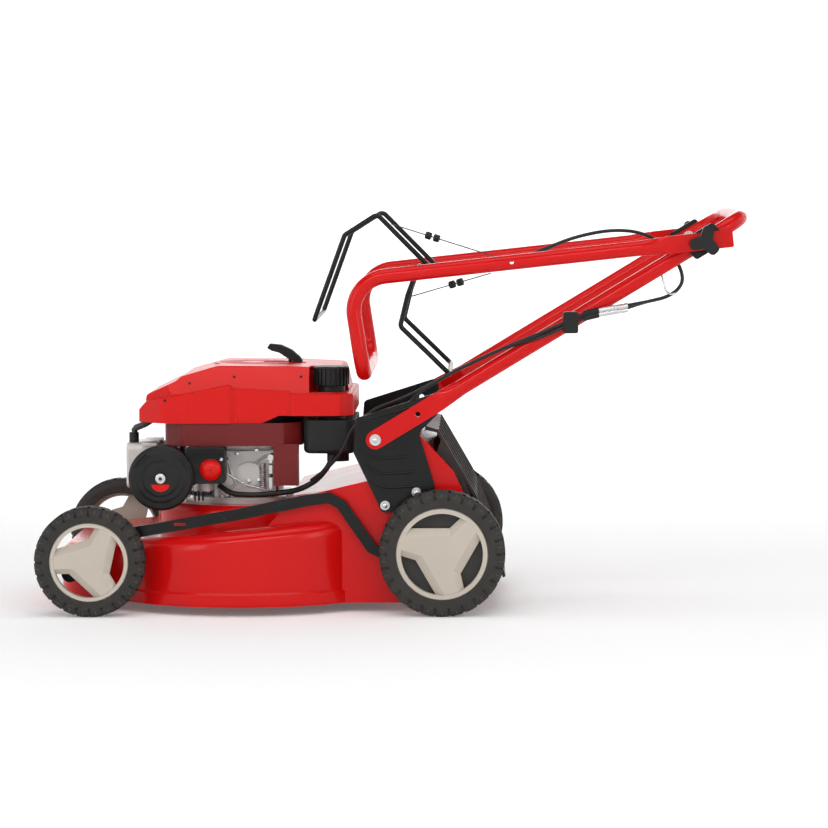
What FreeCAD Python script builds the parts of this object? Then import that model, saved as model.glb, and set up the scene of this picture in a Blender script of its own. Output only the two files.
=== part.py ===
"""Walk-behind petrol lawn mower with a folding handle.

Working frame while building: X = 0 at the front axle and grows towards the handle, Y = 0 is the
middle plane with the left side at -Y, Z = 0 is the ground.  At the end everything is moved so that
the origin is the middle of the footprint on the ground.
"""
import FreeCAD
import Part
import math
import os

V = FreeCAD.Vector

# ---------------------------------------------------------------- driving dimensions (mm, degrees)
WHEELBASE = 558.0          # front axle to rear axle
WIDTH_OVER_TYRES = 524.0   # over the outer faces of the wheels
CRANK_X = 237.0            # crankshaft and blade axis behind the front axle
FRONT_TYRE_D = 175.0
REAR_TYRE_D = 200.0
FRONT_TYRE_W = 44.0
REAR_TYRE_W = 50.0
FRONT_TRIM_R = 63.0
REAR_TRIM_R = 73.0
BLADE_LENGTH = 460.0
CUT_TRAVEL = 50.3          # how far the deck rises from the lowest to the highest cut
ARM_LENGTH = 45.0          # axle pivot to wheel axle, also the gear centre distance
STUB_R = 6.0               # wheel stub axle and drive shaft
RUNNING_GAP = 0.4          # radial gap of a turning hole

DECK_WALL = 2.5
DECK_LOW = 15.0            # bottom edge of the deck above the ground
CHAMBER_R = 252.0
SHOULDER_Z = 118.0         # deck shoulder above the ground, 80 mm behind the front axle
SHOULDER_SLOPE = 0.1
SHOULDER_R = 22.0
NOSE_X = -60.0
NOSE_HALF = 178.0
SEAT_Z = 165.0             # engine seat
SEAT_R = 150.0
REAR_HALF = 194.0          # half width of the rear of the deck
FLAP_HALF = 168.0

BRACKET_IN = 197.0         # inner face of the handle brackets from the middle plane
BRACKET_T = 5.0
HANDLE_TUBE_R = 12.5
UPPER_TUBE_R = 12.0
LOWER_LEG_Y = 190.0        # centreline of the lower handle legs
UPPER_LEG_Y = 215.5        # centreline of the upper handle legs
FLAT_T = 5.5               # thickness of the pressed-flat tube ends
TUBE_WALL = 1.5
PIVOT_X = 452.0            # lower handle front bolt
PIVOT_Z = 277.0
FOLD_X = 973.0             # fold joint of the handle
FOLD_Z = 591.0
CROSSBAR_RUN = 70.0        # lower handle past the fold joint
UPPER_LEAN = 6.1           # folded upper legs drop this many degrees towards the front
UPPER_CORNER_X = 411.0     # where the folded upper legs turn down
GRIP_BAR_X = 434.0
GRIP_BAR_Z = 382.0
KNOB_R = 25.0
BAIL_R = 4.0
DRIVE_BAIL_Y = 160.0
BRAKE_BAIL_Y = 150.0
CABLE_R = 2.75

COVER_HALF = 150.0         # engine cover half width
COVER_WALL = 3.0
GEAR_MODULE = 2.0
PINION_TEETH = 12
RING_TEETH = 57

# ---------------------------------------------------------------- sizes worked out from those
HALF_SWING = math.degrees(math.asin(CUT_TRAVEL / 2 / ARM_LENGTH))
ARM_X = ARM_LENGTH * math.cos(math.radians(HALF_SWING))
ARM_Z = CUT_TRAVEL / 2
OUTER = WIDTH_OVER_TYRES / 2
FRONT_Z = FRONT_TYRE_D / 2
REAR_Z = REAR_TYRE_D / 2
FRONT_PIVOT = (-ARM_X, FRONT_Z - ARM_Z)
REAR_PIVOT = (WHEELBASE - ARM_X, REAR_Z - ARM_Z)
WHEEL_IN = OUTER - REAR_TYRE_W
LINK_OUT = WHEEL_IN - 3.5
LINK_IN = LINK_OUT - 4.5
ARM_OUT = LINK_IN - 1.5
ARM_IN = ARM_OUT - 5.0
LINK_ARM = 30.0
LINK_ANGLE = 90.0 + HALF_SWING
LOWER_ANGLE = math.degrees(math.atan2(FOLD_Z - PIVOT_Z, FOLD_X - PIVOT_X))
BRACKET_OUT = BRACKET_IN + BRACKET_T
PIECES = []


def emit(name, *solids):
    """Keep one named piece, which may be a group of separate solids."""
    shape = solids[0] if len(solids) == 1 else Part.makeCompound(list(solids))
    PIECES.append((name, shape))
    return shape


def rounded_edges(points, radii, closed):
    """Straight edges through corner points, joined by tangent arcs."""
    count = len(points)
    edges = []
    first = None
    last = None
    for i in range(count):
        point = points[i]
        at_end = not closed and i in (0, count - 1)
        radius = 0 if at_end else radii[i]
        enter = point
        leave = point
        arc = None
        back = (points[i - 1] - point).normalize()
        ahead = (points[(i + 1) % count] - point).normalize()
        half = back.getAngle(ahead) / 2
        if radius > 0 and math.pi / 2 - half > 1e-4:
            reach = radius / math.tan(half)
            enter = point + back * reach
            leave = point + ahead * reach
            inward = (back + ahead).normalize()
            middle = point + inward * (radius / math.sin(half) - radius)
            arc = Part.Arc(enter, middle, leave).toShape()
        if last is not None and (enter - last).Length > 1e-6:
            edges.append(Part.LineSegment(last, enter).toShape())
        if arc is not None:
            edges.append(arc)
        if first is None:
            first = enter
        last = leave
    if closed and (first - last).Length > 1e-6:
        edges.append(Part.LineSegment(last, first).toShape())
    return edges


def outline_face(points, radius):
    radii = radius if isinstance(radius, list) else [radius] * len(points)
    return Part.Face(Part.Wire(rounded_edges(points, radii, True)))


def prism_y(outline, y0, y1, radius=0):
    """Outline in X and Z pushed from y0 to y1."""
    face = outline_face([V(x, y0, z) for x, z in outline], radius)
    return face.extrude(V(0, y1 - y0, 0))


def prism_z(outline, z0, z1, radius=0):
    face = outline_face([V(x, y, z0) for x, y in outline], radius)
    return face.extrude(V(0, 0, z1 - z0))


def prism_x(outline, x0, x1, radius=0):
    face = outline_face([V(x0, y, z) for y, z in outline], radius)
    return face.extrude(V(x1 - x0, 0, 0))


def box(x0, x1, y0, y1, z0, z1):
    return Part.makeBox(x1 - x0, y1 - y0, z1 - z0, V(x0, y0, z0))


def round_box(x0, x1, y0, y1, z0, z1, radius, axis="z"):
    if axis == "z":
        return prism_z([(x0, y0), (x1, y0), (x1, y1), (x0, y1)], z0, z1, radius)
    if axis == "y":
        return prism_y([(x0, z0), (x1, z0), (x1, z1), (x0, z1)], y0, y1, radius)
    return prism_x([(y0, z0), (y1, z0), (y1, z1), (y0, z1)], x0, x1, radius)


def rod_y(x, z, radius, y0, y1):
    low = min(y0, y1)
    return Part.makeCylinder(radius, abs(y1 - y0), V(x, low, z), V(0, 1, 0))


def rod_z(x, y, radius, z0, z1):
    return Part.makeCylinder(radius, z1 - z0, V(x, y, z0))


def rod_x(y, z, radius, x0, x1):
    return Part.makeCylinder(radius, x1 - x0, V(x0, y, z), V(1, 0, 0))


def ring_y(x, z, outer, inner, y0, y1):
    return rod_y(x, z, outer, y0, y1).cut(rod_y(x, z, inner, y0, y1))


def wire_rod(points, radius, bend):
    """Round bar along corner points, with one bend radius or a list of them."""
    radii = bend if isinstance(bend, list) else [bend] * len(points)
    path = Part.Wire(rounded_edges(points, radii, False))
    start = Part.Wire([Part.Circle(points[0], points[1] - points[0], radius).toShape()])
    return path.makePipeShell([start], True, False)


def cord(name, points, radius):
    """Cable tube: the arcs are as large as the two runs beside each point allow."""
    radii = [0] * len(points)
    for i in range(1, len(points) - 1):
        back = points[i - 1] - points[i]
        ahead = points[i + 1] - points[i]
        half_turn = (math.pi - back.getAngle(ahead)) / 2
        radii[i] = 0.45 * min(back.Length, ahead.Length) / math.tan(half_turn)
    solid = wire_rod(points, radius, radii)
    path = Part.Wire(rounded_edges(points, radii, False))
    shown = " ".join("%.0f" % r for r in radii[1:-1])
    ratio = solid.Volume / (math.pi * radius ** 2 * path.Length)
    print("%s: length %.0f, volume ratio %.4f, radii %s" % (name, path.Length, ratio, shown))
    return solid


def turned_y(x, z, profile):
    """Body of revolution about a Y axis; the profile is a list of (radius, y)."""
    face = outline_face([V(x + r, y, z) for r, y in profile], 0)
    return face.revolve(V(x, 0, z), V(0, 1, 0), 360)


def fuse(first, *others):
    return first.multiFuse(list(others)).removeSplitter()


def both_sides(shape):
    """The shape and its mirror image across the middle plane."""
    return shape, shape.mirror(V(0, 0, 0), V(0, 1, 0))


def on_side(side, shape):
    """A shape built for the left, or mirrored to the right."""
    return shape if side < 0 else shape.mirror(V(0, 0, 0), V(0, 1, 0))


def polar(x, z, radius, degrees):
    a = math.radians(degrees)
    return (x + radius * math.cos(a), z + radius * math.sin(a))


# ---------------------------------------------------------------- deck
def shoulder(x):
    return SHOULDER_Z + SHOULDER_SLOPE * (x - 80.0)


REAR_TOP = [(318, 182), (445, 212), (524, 282), (577, 224), (614, 140), (640, 72)]


def deck_form(inset, low):
    """The pressed form shrunk by an inset: once for the outside, once for the hollow."""
    under = prism_y([(-300, low), (900, low), (900, shoulder(900) - inset),
                     (-300, shoulder(-300) - inset)], -400, 400)
    chamber = rod_z(CRANK_X, 0, CHAMBER_R - inset, low, 260).common(under)
    rim = [e for e in chamber.Edges if e.BoundBox.ZMin > low + 20]
    chamber = chamber.makeFillet(SHOULDER_R - inset, rim)
    half = NOSE_HALF - inset
    front = NOSE_X + inset
    nose = prism_z([(front, -half), (CRANK_X, -half), (CRANK_X, half), (front, half)], low, 260,
                   [75 - inset, 0, 0, 75 - inset]).common(under)
    rim = [e for e in nose.Edges if e.BoundBox.ZMin > low + 20 and e.BoundBox.XMin < CRANK_X - 1]
    nose = nose.makeFillet(SHOULDER_R - inset, rim)
    skirt = rod_z(CRANK_X, 0, CHAMBER_R + 3 - inset, low, 34)
    step = Part.makeCone(CHAMBER_R + 3 - inset, CHAMBER_R - 6 - inset, 9, V(CRANK_X, 0, 34))
    seat = rod_z(CRANK_X, 0, SEAT_R - inset, low, SEAT_Z - inset)
    seat = seat.makeFillet(12 - inset, [e for e in seat.Edges if e.BoundBox.ZMin > SEAT_Z - 9])
    outline = [(272 + inset, low), (272 + inset, 130)]
    outline += [(REAR_TOP[0][0] + inset, REAR_TOP[0][1] - inset)]
    outline += [(REAR_TOP[1][0] - 0.3 * inset, REAR_TOP[1][1] - 1.2 * inset)]
    outline += [(REAR_TOP[2][0] - 0.2 * inset, REAR_TOP[2][1] - 1.4 * inset)]
    outline += [(x - inset, z - 0.4 * inset) for x, z in REAR_TOP[3:5]]
    outline += [(REAR_TOP[5][0] - inset, REAR_TOP[5][1])]
    outline += [(REAR_TOP[5][0] - inset, 56 + inset if low > 0 else low)]
    if low > 0:
        outline += [(570, 56), (548, low)]
    else:
        outline += [(548 - inset, low)]
    rear = prism_y(outline, inset - REAR_HALF, REAR_HALF - inset)
    return fuse(chamber, nose, skirt, step, seat, rear)


def make_deck():
    deck = deck_form(0, DECK_LOW).cut(deck_form(DECK_WALL, DECK_LOW - 60))
    lip = rod_z(CRANK_X, 0, CHAMBER_R + 6, DECK_LOW, DECK_LOW + 2)
    lip = lip.cut(rod_z(CRANK_X, 0, CHAMBER_R + 2, DECK_LOW, DECK_LOW + 2))
    between = box(100, 374, -OUTER, OUTER, 0, 60)
    deck = deck.fuse(lip.common(between))
    # rear discharge opening and the hollow behind it
    mouth = prism_y([(515, 258), (700, 258), (700, 86), (560, 86)], -FLAP_HALF - 4, FLAP_HALF + 4)
    deck = deck.cut(mouth)
    # rear wall of the blade chamber and the floor of the discharge tunnel
    inner = REAR_HALF - DECK_WALL
    wall = rod_z(CRANK_X, 0, 242, DECK_LOW, 133).cut(rod_z(CRANK_X, 0, 239.5, DECK_LOW, 133))
    wall = wall.common(box(CRANK_X + 145, 520, -inner, inner, 0, 200))
    wall = wall.cut(box(450, 500, -45, 45, 88, 114))
    floor = prism_y([(470, 131), (470, 134), (REAR_TOP[5][0] - 1, 90), (REAR_TOP[5][0] - 1, 87)],
                    -inner, inner)
    outside = rod_z(CRANK_X, 0, 239.5, 0, 300)
    floor = floor.cut(outside)
    deck = fuse(deck, wall, floor)
    deck = deck.cut(rod_z(CRANK_X, 0, 32, 100, 200))
    # curved slots that the rear carrier's tie bar swings in
    reach = math.hypot(TIE_BAR[0] - REAR_PIVOT[0], TIE_BAR[1] - REAR_PIVOT[1])
    start = math.degrees(math.atan2(TIE_BAR[1] - REAR_PIVOT[1], TIE_BAR[0] - REAR_PIVOT[0])) + 11
    slot = ring_y(REAR_PIVOT[0], REAR_PIVOT[1], reach + 9, reach - 9, -OUTER, OUTER)
    sector = [REAR_PIVOT]
    sector += [polar(REAR_PIVOT[0], REAR_PIVOT[1], 120, start - k * (2 * HALF_SWING + 22) / 3)
               for k in range(4)]
    deck = deck.cut(slot.common(prism_y(sector, -OUTER, OUTER)))
    deck = deck.cut(rod_y(REAR_PIVOT[0], REAR_PIVOT[1], STUB_R + 4, -OUTER, OUTER))
    deck = deck.cut(rod_y(FRONT_PIVOT[0], FRONT_PIVOT[1], STUB_R + 2, -OUTER, OUTER))
    for x, z in BRACKET_BOLTS:
        deck = deck.cut(rod_y(x, z, 4.2, -OUTER, OUTER))
    for x, y in ENGINE_BOLTS:
        deck = deck.cut(rod_z(x, y, 4.2, 100, 200))
    return deck


WASHER_T = 1.4
LOW_HEAD = 3.0             # low bolt heads on the right, which the height lever passes over
BRACKET_BOLTS = [(467.0, 172.0), (517.0, 193.0)]
ENGINE_BOLTS = [(CRANK_X + 92 * math.cos(a), 92 * math.sin(a)) for a in (0.6, 2.7, 4.6)]
BRACKET = [(417, 256), (421, 311), (532, 346), (546, 350), (551, 317), (521, 288), (549, 194),
           (489, 166), (464, 158)]


def make_bracket():
    plate = prism_y(BRACKET, -BRACKET_OUT, -BRACKET_IN, [6, 8, 6, 5, 6, 10, 12, 8, 10])
    ribs = [[(440, 262), (456, 240), (476, 196), (466, 190), (440, 232)],
            [(478, 268), (500, 268), (526, 212), (508, 208)],
            [(430, 300), (500, 323), (500, 318), (431, 294)]]
    for rib in ribs:
        plate = plate.cut(prism_y(rib, -BRACKET_OUT, -BRACKET_OUT + 2, 2))
    inner = REAR_HALF
    for x, z in BRACKET_BOLTS:
        plate = plate.fuse(rod_y(x, z, 10, -BRACKET_IN, -inner))
        plate = plate.cut(rod_y(x, z, 4.2, -OUTER, 0))
    for x, z in HANDLE_HOLES:
        plate = plate.cut(rod_y(x, z, 4.2, -OUTER, 0))
    return plate.removeSplitter()


def hex_bolt(x, z, head_y, tip_y, shank=4.0, across=13.0, washer=9.0, tall=5.4):
    """Hex bolt along Y with a washer; head_y is the face that the washer sits on."""
    way = -1 if head_y < tip_y else 1
    corner = across / math.sqrt(3)
    points = [polar(x, z, corner, 60 * k) for k in range(6)]
    head = prism_y(points, head_y + way * WASHER_T, head_y + way * (WASHER_T + tall), 0)
    disc = rod_y(x, z, washer, head_y, head_y + way * WASHER_T)
    return fuse(head, disc, rod_y(x, z, shank, head_y, tip_y))


# ---------------------------------------------------------------- handle
def along_lower(distance):
    """Point on the lower leg's line, measured from its front bolt."""
    return polar(PIVOT_X, PIVOT_Z, distance, LOWER_ANGLE)


FOLD_RUN = math.hypot(FOLD_X - PIVOT_X, FOLD_Z - PIVOT_Z)
SPARE_HOLE_RUN = 79.0
HANDLE_HOLES = [(PIVOT_X, PIVOT_Z), along_lower(SPARE_HOLE_RUN)]
FLAT_RUN = 118.0
FLAT_IN = BRACKET_OUT + 0.2


def flat_end(length, height, thick, y_out):
    """Pressed-flat tube end along +X from the origin, rounded at its start."""
    half = height / 2
    plate = round_box(-half, length, y_out, y_out + thick, -half, half, 0, "y")
    tip = rod_y(0, 0, half, y_out, y_out + thick)
    return plate.cut(box(-half - 1, 0, y_out - 1, y_out + thick + 1, -half - 1, half + 1)).fuse(tip)


def transition(run, length, height, thick, y_flat, y_tube, radius):
    """Loft from a flat end to the round tube, along +X."""
    hw = height / 2
    ht = thick / 2
    flat = [V(run, y_flat - ht, -hw), V(run, y_flat + ht, -hw), V(run, y_flat + ht, hw),
            V(run, y_flat - ht, hw)]
    first = Part.Wire(rounded_edges(flat, [ht * 0.9] * 4, True))
    last = Part.Wire([Part.Circle(V(run + length, y_tube, 0), V(1, 0, 0), radius).toShape()])
    return Part.makeLoft([first, last], True, False)


def placed(shape, x, z, degrees):
    """Turn a shape drawn along +X to an angle in the XZ plane and move it to a point."""
    copy = shape.copy()
    copy.rotate(V(0, 0, 0), V(0, 1, 0), -degrees)
    copy.translate(V(x, 0, z))
    return copy


def make_lower_handle():
    y_flat = -FLAT_IN - FLAT_T
    flat = flat_end(FLAT_RUN, 30, FLAT_T, y_flat)
    blend = transition(FLAT_RUN, 42, 30, FLAT_T, y_flat + FLAT_T / 2, -LOWER_LEG_Y, HANDLE_TUBE_R)
    leg = placed(flat.fuse(blend), PIVOT_X, PIVOT_Z, LOWER_ANGLE)
    start = along_lower(FLAT_RUN + 42)
    end = along_lower(FOLD_RUN + CROSSBAR_RUN)
    y = LOWER_LEG_Y
    path = [V(start[0], -y, start[1]), V(end[0], -y, end[1]), V(end[0], y, end[1]),
            V(start[0], y, start[1])]
    bar = wire_rod(path, HANDLE_TUBE_R, 50).cut(wire_rod(path, HANDLE_TUBE_R - TUBE_WALL, 50))
    handle = fuse(bar, *both_sides(leg))
    for x, z in HANDLE_HOLES:
        handle = handle.cut(rod_y(x, z, 4.2, -OUTER, OUTER))
    return handle.cut(rod_y(FOLD_X, FOLD_Z, 4.2, -OUTER, OUTER))


def upper_leg_point(x):
    return (x, FOLD_Z - (FOLD_X - x) * math.tan(math.radians(UPPER_LEAN)))


UPPER_FLAT_IN = 208.8
UPPER_FLAT_T = 8.0


def make_upper_handle():
    y = UPPER_LEG_Y
    y_flat = -UPPER_FLAT_IN - UPPER_FLAT_T
    flat = round_box(-45, 62, y_flat, y_flat + UPPER_FLAT_T, -14, 14, 3, "y")
    blend = transition(62, 38, 28, UPPER_FLAT_T, y_flat + UPPER_FLAT_T / 2, -y, UPPER_TUBE_R)
    end = placed(flat.fuse(blend), FOLD_X, FOLD_Z, 180 + UPPER_LEAN)
    start = polar(FOLD_X, FOLD_Z, 100, 180 + UPPER_LEAN)
    corner = upper_leg_point(UPPER_CORNER_X)
    path = [V(start[0], -y, start[1]), V(corner[0], -y, corner[1]), V(GRIP_BAR_X, -y, GRIP_BAR_Z),
            V(GRIP_BAR_X, y, GRIP_BAR_Z), V(corner[0], y, corner[1]), V(start[0], y, start[1])]
    bends = [0, 55, 42, 42, 55, 0]
    bar = wire_rod(path, UPPER_TUBE_R, bends).cut(wire_rod(path, UPPER_TUBE_R - TUBE_WALL, bends))
    handle = fuse(bar, *both_sides(end))
    handle = handle.cut(rod_y(FOLD_X, FOLD_Z, 4.4, -OUTER, OUTER))
    for x, z in (DRIVE_BAIL_PIVOT, BRAKE_BAIL_PIVOT):
        for side in (-1, 1):
            handle = handle.cut(rod_y(x, z, BAIL_R + RUNNING_GAP, side * 200, side * 213))
    bolt = upper_leg_point(CABLE_BOLT_X)
    return handle.cut(rod_y(bolt[0], bolt[1], 3.2, -OUTER, -UPPER_LEG_Y + 30))


DRIVE_BAIL_PIVOT = upper_leg_point(543.0)
BRAKE_BAIL_PIVOT = upper_leg_point(517.0)
CABLE_BOLT_X = 669.0
# bail corners between the pivot and the grip bar, folded
DRIVE_BAIL = [(455, 634), (403, 601), (354, 466)]
BRAKE_BAIL = [(503, 504), (491, 455), (570, 378)]


def make_bail(pivot, corners, leg_y):
    left = [V(pivot[0], -212, pivot[1]), V(pivot[0], -leg_y, pivot[1])]
    left += [V(x, -leg_y, z) for x, z in corners]
    right = [V(p.x, -p.y, p.z) for p in reversed(left)]
    return wire_rod(left + right, BAIL_R, 9)


def make_knob():
    """Three-lobed star knob outside the left fold joint."""
    base = -UPPER_FLAT_IN - UPPER_FLAT_T - 1.5
    outline = []
    for k in range(3):
        lobe = 75 + 120 * k
        outline += [polar(FOLD_X, FOLD_Z, KNOB_R * 1.06, lobe - 19),
                    polar(FOLD_X, FOLD_Z, KNOB_R * 1.06, lobe + 19),
                    polar(FOLD_X, FOLD_Z, 11.5, lobe + 60)]
    star = prism_y(outline, base - 7, base - 20, [7, 7, 5] * 3)
    hub = rod_y(FOLD_X, FOLD_Z, 10, base, base - 7)
    return fuse(star, hub).cut(rod_y(FOLD_X, FOLD_Z, 4.4, base + 1, base - 14))


def make_spacer():
    """Plastic saddle between the two tubes at the fold joint."""
    block = prism_y([(-26, -19), (26, -19), (30, 0), (26, 19), (-26, 19), (-30, 0)],
                    -UPPER_FLAT_IN + 0.2, -LOWER_LEG_Y - 4, 5)
    block = placed(block, FOLD_X, FOLD_Z, LOWER_ANGLE)
    groove = rod_x(-LOWER_LEG_Y, 0, HANDLE_TUBE_R + 0.1, -60, 60)
    block = block.cut(placed(groove, FOLD_X, FOLD_Z, LOWER_ANGLE))
    return block.cut(rod_y(FOLD_X, FOLD_Z, 4.2, -OUTER, 0))


# ---------------------------------------------------------------- wheels and drive
def make_tyre(x, z, diameter, width, trim_r, lugs):
    """Left tyre with tread blocks cut between shallow grooves."""
    r = diameter / 2
    y0 = -OUTER
    y1 = -OUTER + width
    body = turned_y(x, z, [(trim_r, y0 + 2), (r - 12, y0 + 1), (r - 5, y0 + 3), (r, y0 + 9),
                           (r, y1 - 9), (r - 5, y1 - 3), (r - 12, y1 - 1), (trim_r, y1 - 2)])
    grooves = []
    for k in range(lugs):
        groove = box(r - 14, r + 5, y0 - 1, y0 + width * 0.42, -2.2, 2.2)
        core = box(r - 20, r - 3, y0 + 4.5, y0 + width * 0.42 + 1, -4, 4)
        grooves.append(placed(groove.cut(core), x, z, 360.0 * k / lugs))
    for k in range(lugs):
        groove = box(r - 3, r + 5, y0 + width * 0.58, y1 + 1, -2.2, 2.2)
        grooves.append(placed(groove, x, z, 360.0 * (k + 0.5) / lugs))
    return body.cut(Part.makeCompound(grooves))


# window corners in trim radii, for the window above the hub: a long level edge, then a slanted one
WINDOW_FACE = [(-0.93, 0.39), (0.19, 0.39), (0.63, 0.80), (0.45, 1.15), (-0.72, 1.15)]
WINDOW_BACK = [(-0.80, 0.56), (0.17, 0.56), (0.50, 0.87), (0.42, 1.15), (-0.62, 1.15)]


def make_trim(x, z, trim_r, width, tilt):
    """Left wheel trim: ring, three broad bevelled spokes and the hub tube on the stub axle."""
    y0 = -OUTER + 1.0
    disc = turned_y(x, z, [(0, y0), (trim_r * 0.87, y0), (trim_r * 0.9, y0 + 1.2),
                           (trim_r - 1.5, y0 + 1.2), (trim_r, y0 + 3), (trim_r, y0 + 15), (trim_r - 3, y0 + 15),
                           (trim_r - 7, y0 + 12), (0, y0 + 12)])
    windows = []
    bevel = 7.0
    for k in range(3):
        face = [V(a * trim_r, y0 - 0.01, b * trim_r) for a, b in WINDOW_FACE]
        back = [V(a * trim_r, y0 + bevel, b * trim_r) for a, b in WINDOW_BACK]
        wires = [Part.Wire(rounded_edges(corners, [0] * 5, True)) for corners in (face, back)]
        sloped = Part.makeLoft(wires, True, True)
        through = Part.Face(wires[1]).extrude(V(0, 20, 0))
        windows.append(placed(sloped.fuse(through), x, z, tilt + 120 * k))
    keep = rod_y(x, z, trim_r * 0.885, y0 - 2, y0 + 30)
    trim = disc.cut(Part.makeCompound([window.common(keep) for window in windows]))
    trim = trim.fuse(rod_y(x, z, 15, y0 + 8, -OUTER + width - 2))
    trim = trim.cut(rod_y(x, z, STUB_R + RUNNING_GAP, y0 + 8, 0))
    return trim.removeSplitter()


def tooth_outline(teeth, tip, root, phase, share):
    """Closed outline of straight-sided teeth; share is the tooth's part of the pitch at its root."""
    points = []
    pitch = 360.0 / teeth
    for k in range(teeth):
        mid = phase + k * pitch
        points.append(polar(0, 0, root, mid - share * pitch))
        points.append(polar(0, 0, tip, mid - 0.45 * share * pitch))
        points.append(polar(0, 0, tip, mid + 0.45 * share * pitch))
        points.append(polar(0, 0, root, mid + share * pitch))
    return points


PITCH_R = GEAR_MODULE * RING_TEETH / 2
PINION_R = GEAR_MODULE * PINION_TEETH / 2
# the pinion sits forward of and below the rear axle; the mesh point is in that direction
MESH_ANGLE = 180 + HALF_SWING


def make_ring_gear(x, z):
    """Left rear wheel's dust disc with the internal ring gear."""
    y0 = -OUTER + 16
    disc = rod_y(x, z, REAR_TRIM_R - 0.5, y0, y0 + 3)
    rim = rod_y(x, z, PITCH_R + 9, y0 + 3, y0 + 23)
    space_phase = MESH_ANGLE + 180.0 / RING_TEETH
    cavity = prism_y(tooth_outline(RING_TEETH, PITCH_R - 1.3, PITCH_R + 2.7, space_phase, 0.26),
                     y0 + 3, y0 + 23)
    cavity.translate(V(x, 0, z))
    gear = disc.fuse(rim.cut(cavity))
    return gear.cut(rod_y(x, z, 15, -OUTER, 0)).removeSplitter()


def make_pinion():
    y0 = -OUTER + 20
    x, z = REAR_PIVOT
    outline = tooth_outline(PINION_TEETH, PINION_R + 1.5, PINION_R - 2.4, MESH_ANGLE, 0.25)
    gear = prism_y(outline, y0, y0 + 17)
    gear.translate(V(x, 0, z))
    return gear.cut(rod_y(x, z, STUB_R + RUNNING_GAP, -OUTER, 0))


def crank_plate(pivot, axle, pin):
    """Left plate that carries a stub axle, with an ear for the height link."""
    hull = []
    for a, b, ra, rb in ((pivot, axle, 13, 12), (pivot, pin, 13, 10)):
        ang = math.degrees(math.atan2(b[1] - a[1], b[0] - a[0]))
        run = math.hypot(b[0] - a[0], b[1] - a[1])
        web = prism_y([(0, -ra * 0.8), (run, -rb * 0.8), (run, rb * 0.8), (0, ra * 0.8)],
                      -ARM_OUT, -ARM_IN)
        hull.append(placed(web, a[0], a[1], ang))
        hull.append(rod_y(b[0], b[1], rb, -ARM_OUT, -ARM_IN))
    hull.append(rod_y(pivot[0], pivot[1], 13, -ARM_OUT, -ARM_IN))
    return hull


FRONT_AXLE = (0.0, FRONT_Z)
REAR_AXLE = (WHEELBASE, REAR_Z)
FRONT_PIN = polar(FRONT_PIVOT[0], FRONT_PIVOT[1], LINK_ARM, LINK_ANGLE)
REAR_PIN = polar(REAR_PIVOT[0], REAR_PIVOT[1], LINK_ARM, LINK_ANGLE)


def make_front_axle():
    """Cranked front axle: pivot rod, two plates, two stub axles and the link pin."""
    pieces = [rod_y(FRONT_PIVOT[0], FRONT_PIVOT[1], STUB_R, -ARM_IN, ARM_IN)]
    plate = crank_plate(FRONT_PIVOT, FRONT_AXLE, FRONT_PIN)
    for piece in plate:
        pieces += both_sides(piece)
    pieces += both_sides(rod_y(0, FRONT_Z, STUB_R, -ARM_OUT, -OUTER + 10))
    pieces.append(rod_y(FRONT_PIN[0], FRONT_PIN[1], 4, -ARM_OUT, -LINK_OUT - 1))
    return fuse(*pieces)


TIE_BAR = (REAR_PIVOT[0] + 52.0, REAR_PIVOT[1] - 8.0)


def make_rear_carrier():
    """Rear axle carrier with the cutting height lever on its right side."""
    pieces = []
    for piece in crank_plate(REAR_PIVOT, REAR_AXLE, REAR_PIN):
        pieces += both_sides(piece)
    tie = prism_y([(REAR_AXLE[0] - 8, REAR_AXLE[1] - 10), (REAR_AXLE[0] + 8, REAR_AXLE[1] + 6),
                   (TIE_BAR[0] + 9, TIE_BAR[1]), (TIE_BAR[0], TIE_BAR[1] - 9),
                   (REAR_PIVOT[0], REAR_PIVOT[1] - 10)], -ARM_OUT, -ARM_IN)
    pieces += both_sides(tie)
    pieces.append(rod_y(TIE_BAR[0], TIE_BAR[1], STUB_R, -ARM_IN, ARM_IN))
    pieces += both_sides(rod_y(REAR_AXLE[0], REAR_AXLE[1], STUB_R, -ARM_OUT, -OUTER + 10))
    lever = box(0, LEVER_LENGTH, LEVER_IN, LEVER_IN + 4, -9, 9)
    grip = round_box(LEVER_LENGTH - 12, LEVER_LENGTH + 22, LEVER_IN - 3, LEVER_IN + 20, -11, 11, 5, "y")
    pieces.append(rod_y(REAR_PIVOT[0], REAR_PIVOT[1], 13, ARM_OUT, LEVER_IN + 4))
    pieces.append(placed(lever, REAR_PIVOT[0], REAR_PIVOT[1], LINK_ANGLE))
    pieces.append(placed(grip, REAR_PIVOT[0], REAR_PIVOT[1], LINK_ANGLE))
    pieces.append(rod_y(REAR_PIN[0], REAR_PIN[1], 4, -ARM_OUT, -LINK_OUT - 1))
    carrier = fuse(*pieces)
    bore = rod_y(REAR_PIVOT[0], REAR_PIVOT[1], STUB_R + RUNNING_GAP, -OUTER, OUTER)
    return carrier.cut(bore)


LEVER_LENGTH = 150.0
LEVER_IN = BRACKET_OUT + WASHER_T + LOW_HEAD + 0.6


def make_notch_plate():
    """Toothed quadrant on the right bracket that the height lever drops into."""
    x, z = REAR_PIVOT
    sector = ring_y(x, z, 146, 127, BRACKET_OUT, BRACKET_OUT + 1.6)
    keep = prism_y([(x, z), polar(x, z, 220, 132), (x, z + 240), polar(x, z, 220, 48)],
                   BRACKET_OUT - 1, BRACKET_OUT + 5)
    sector = sector.common(keep)
    for k in range(7):
        tip = polar(x, z, 146, LINK_ANGLE - 2 * HALF_SWING * k / 6)
        sector = sector.cut(rod_y(tip[0], tip[1], 4.5, BRACKET_OUT - 1, BRACKET_OUT + 3))
    return sector


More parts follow.
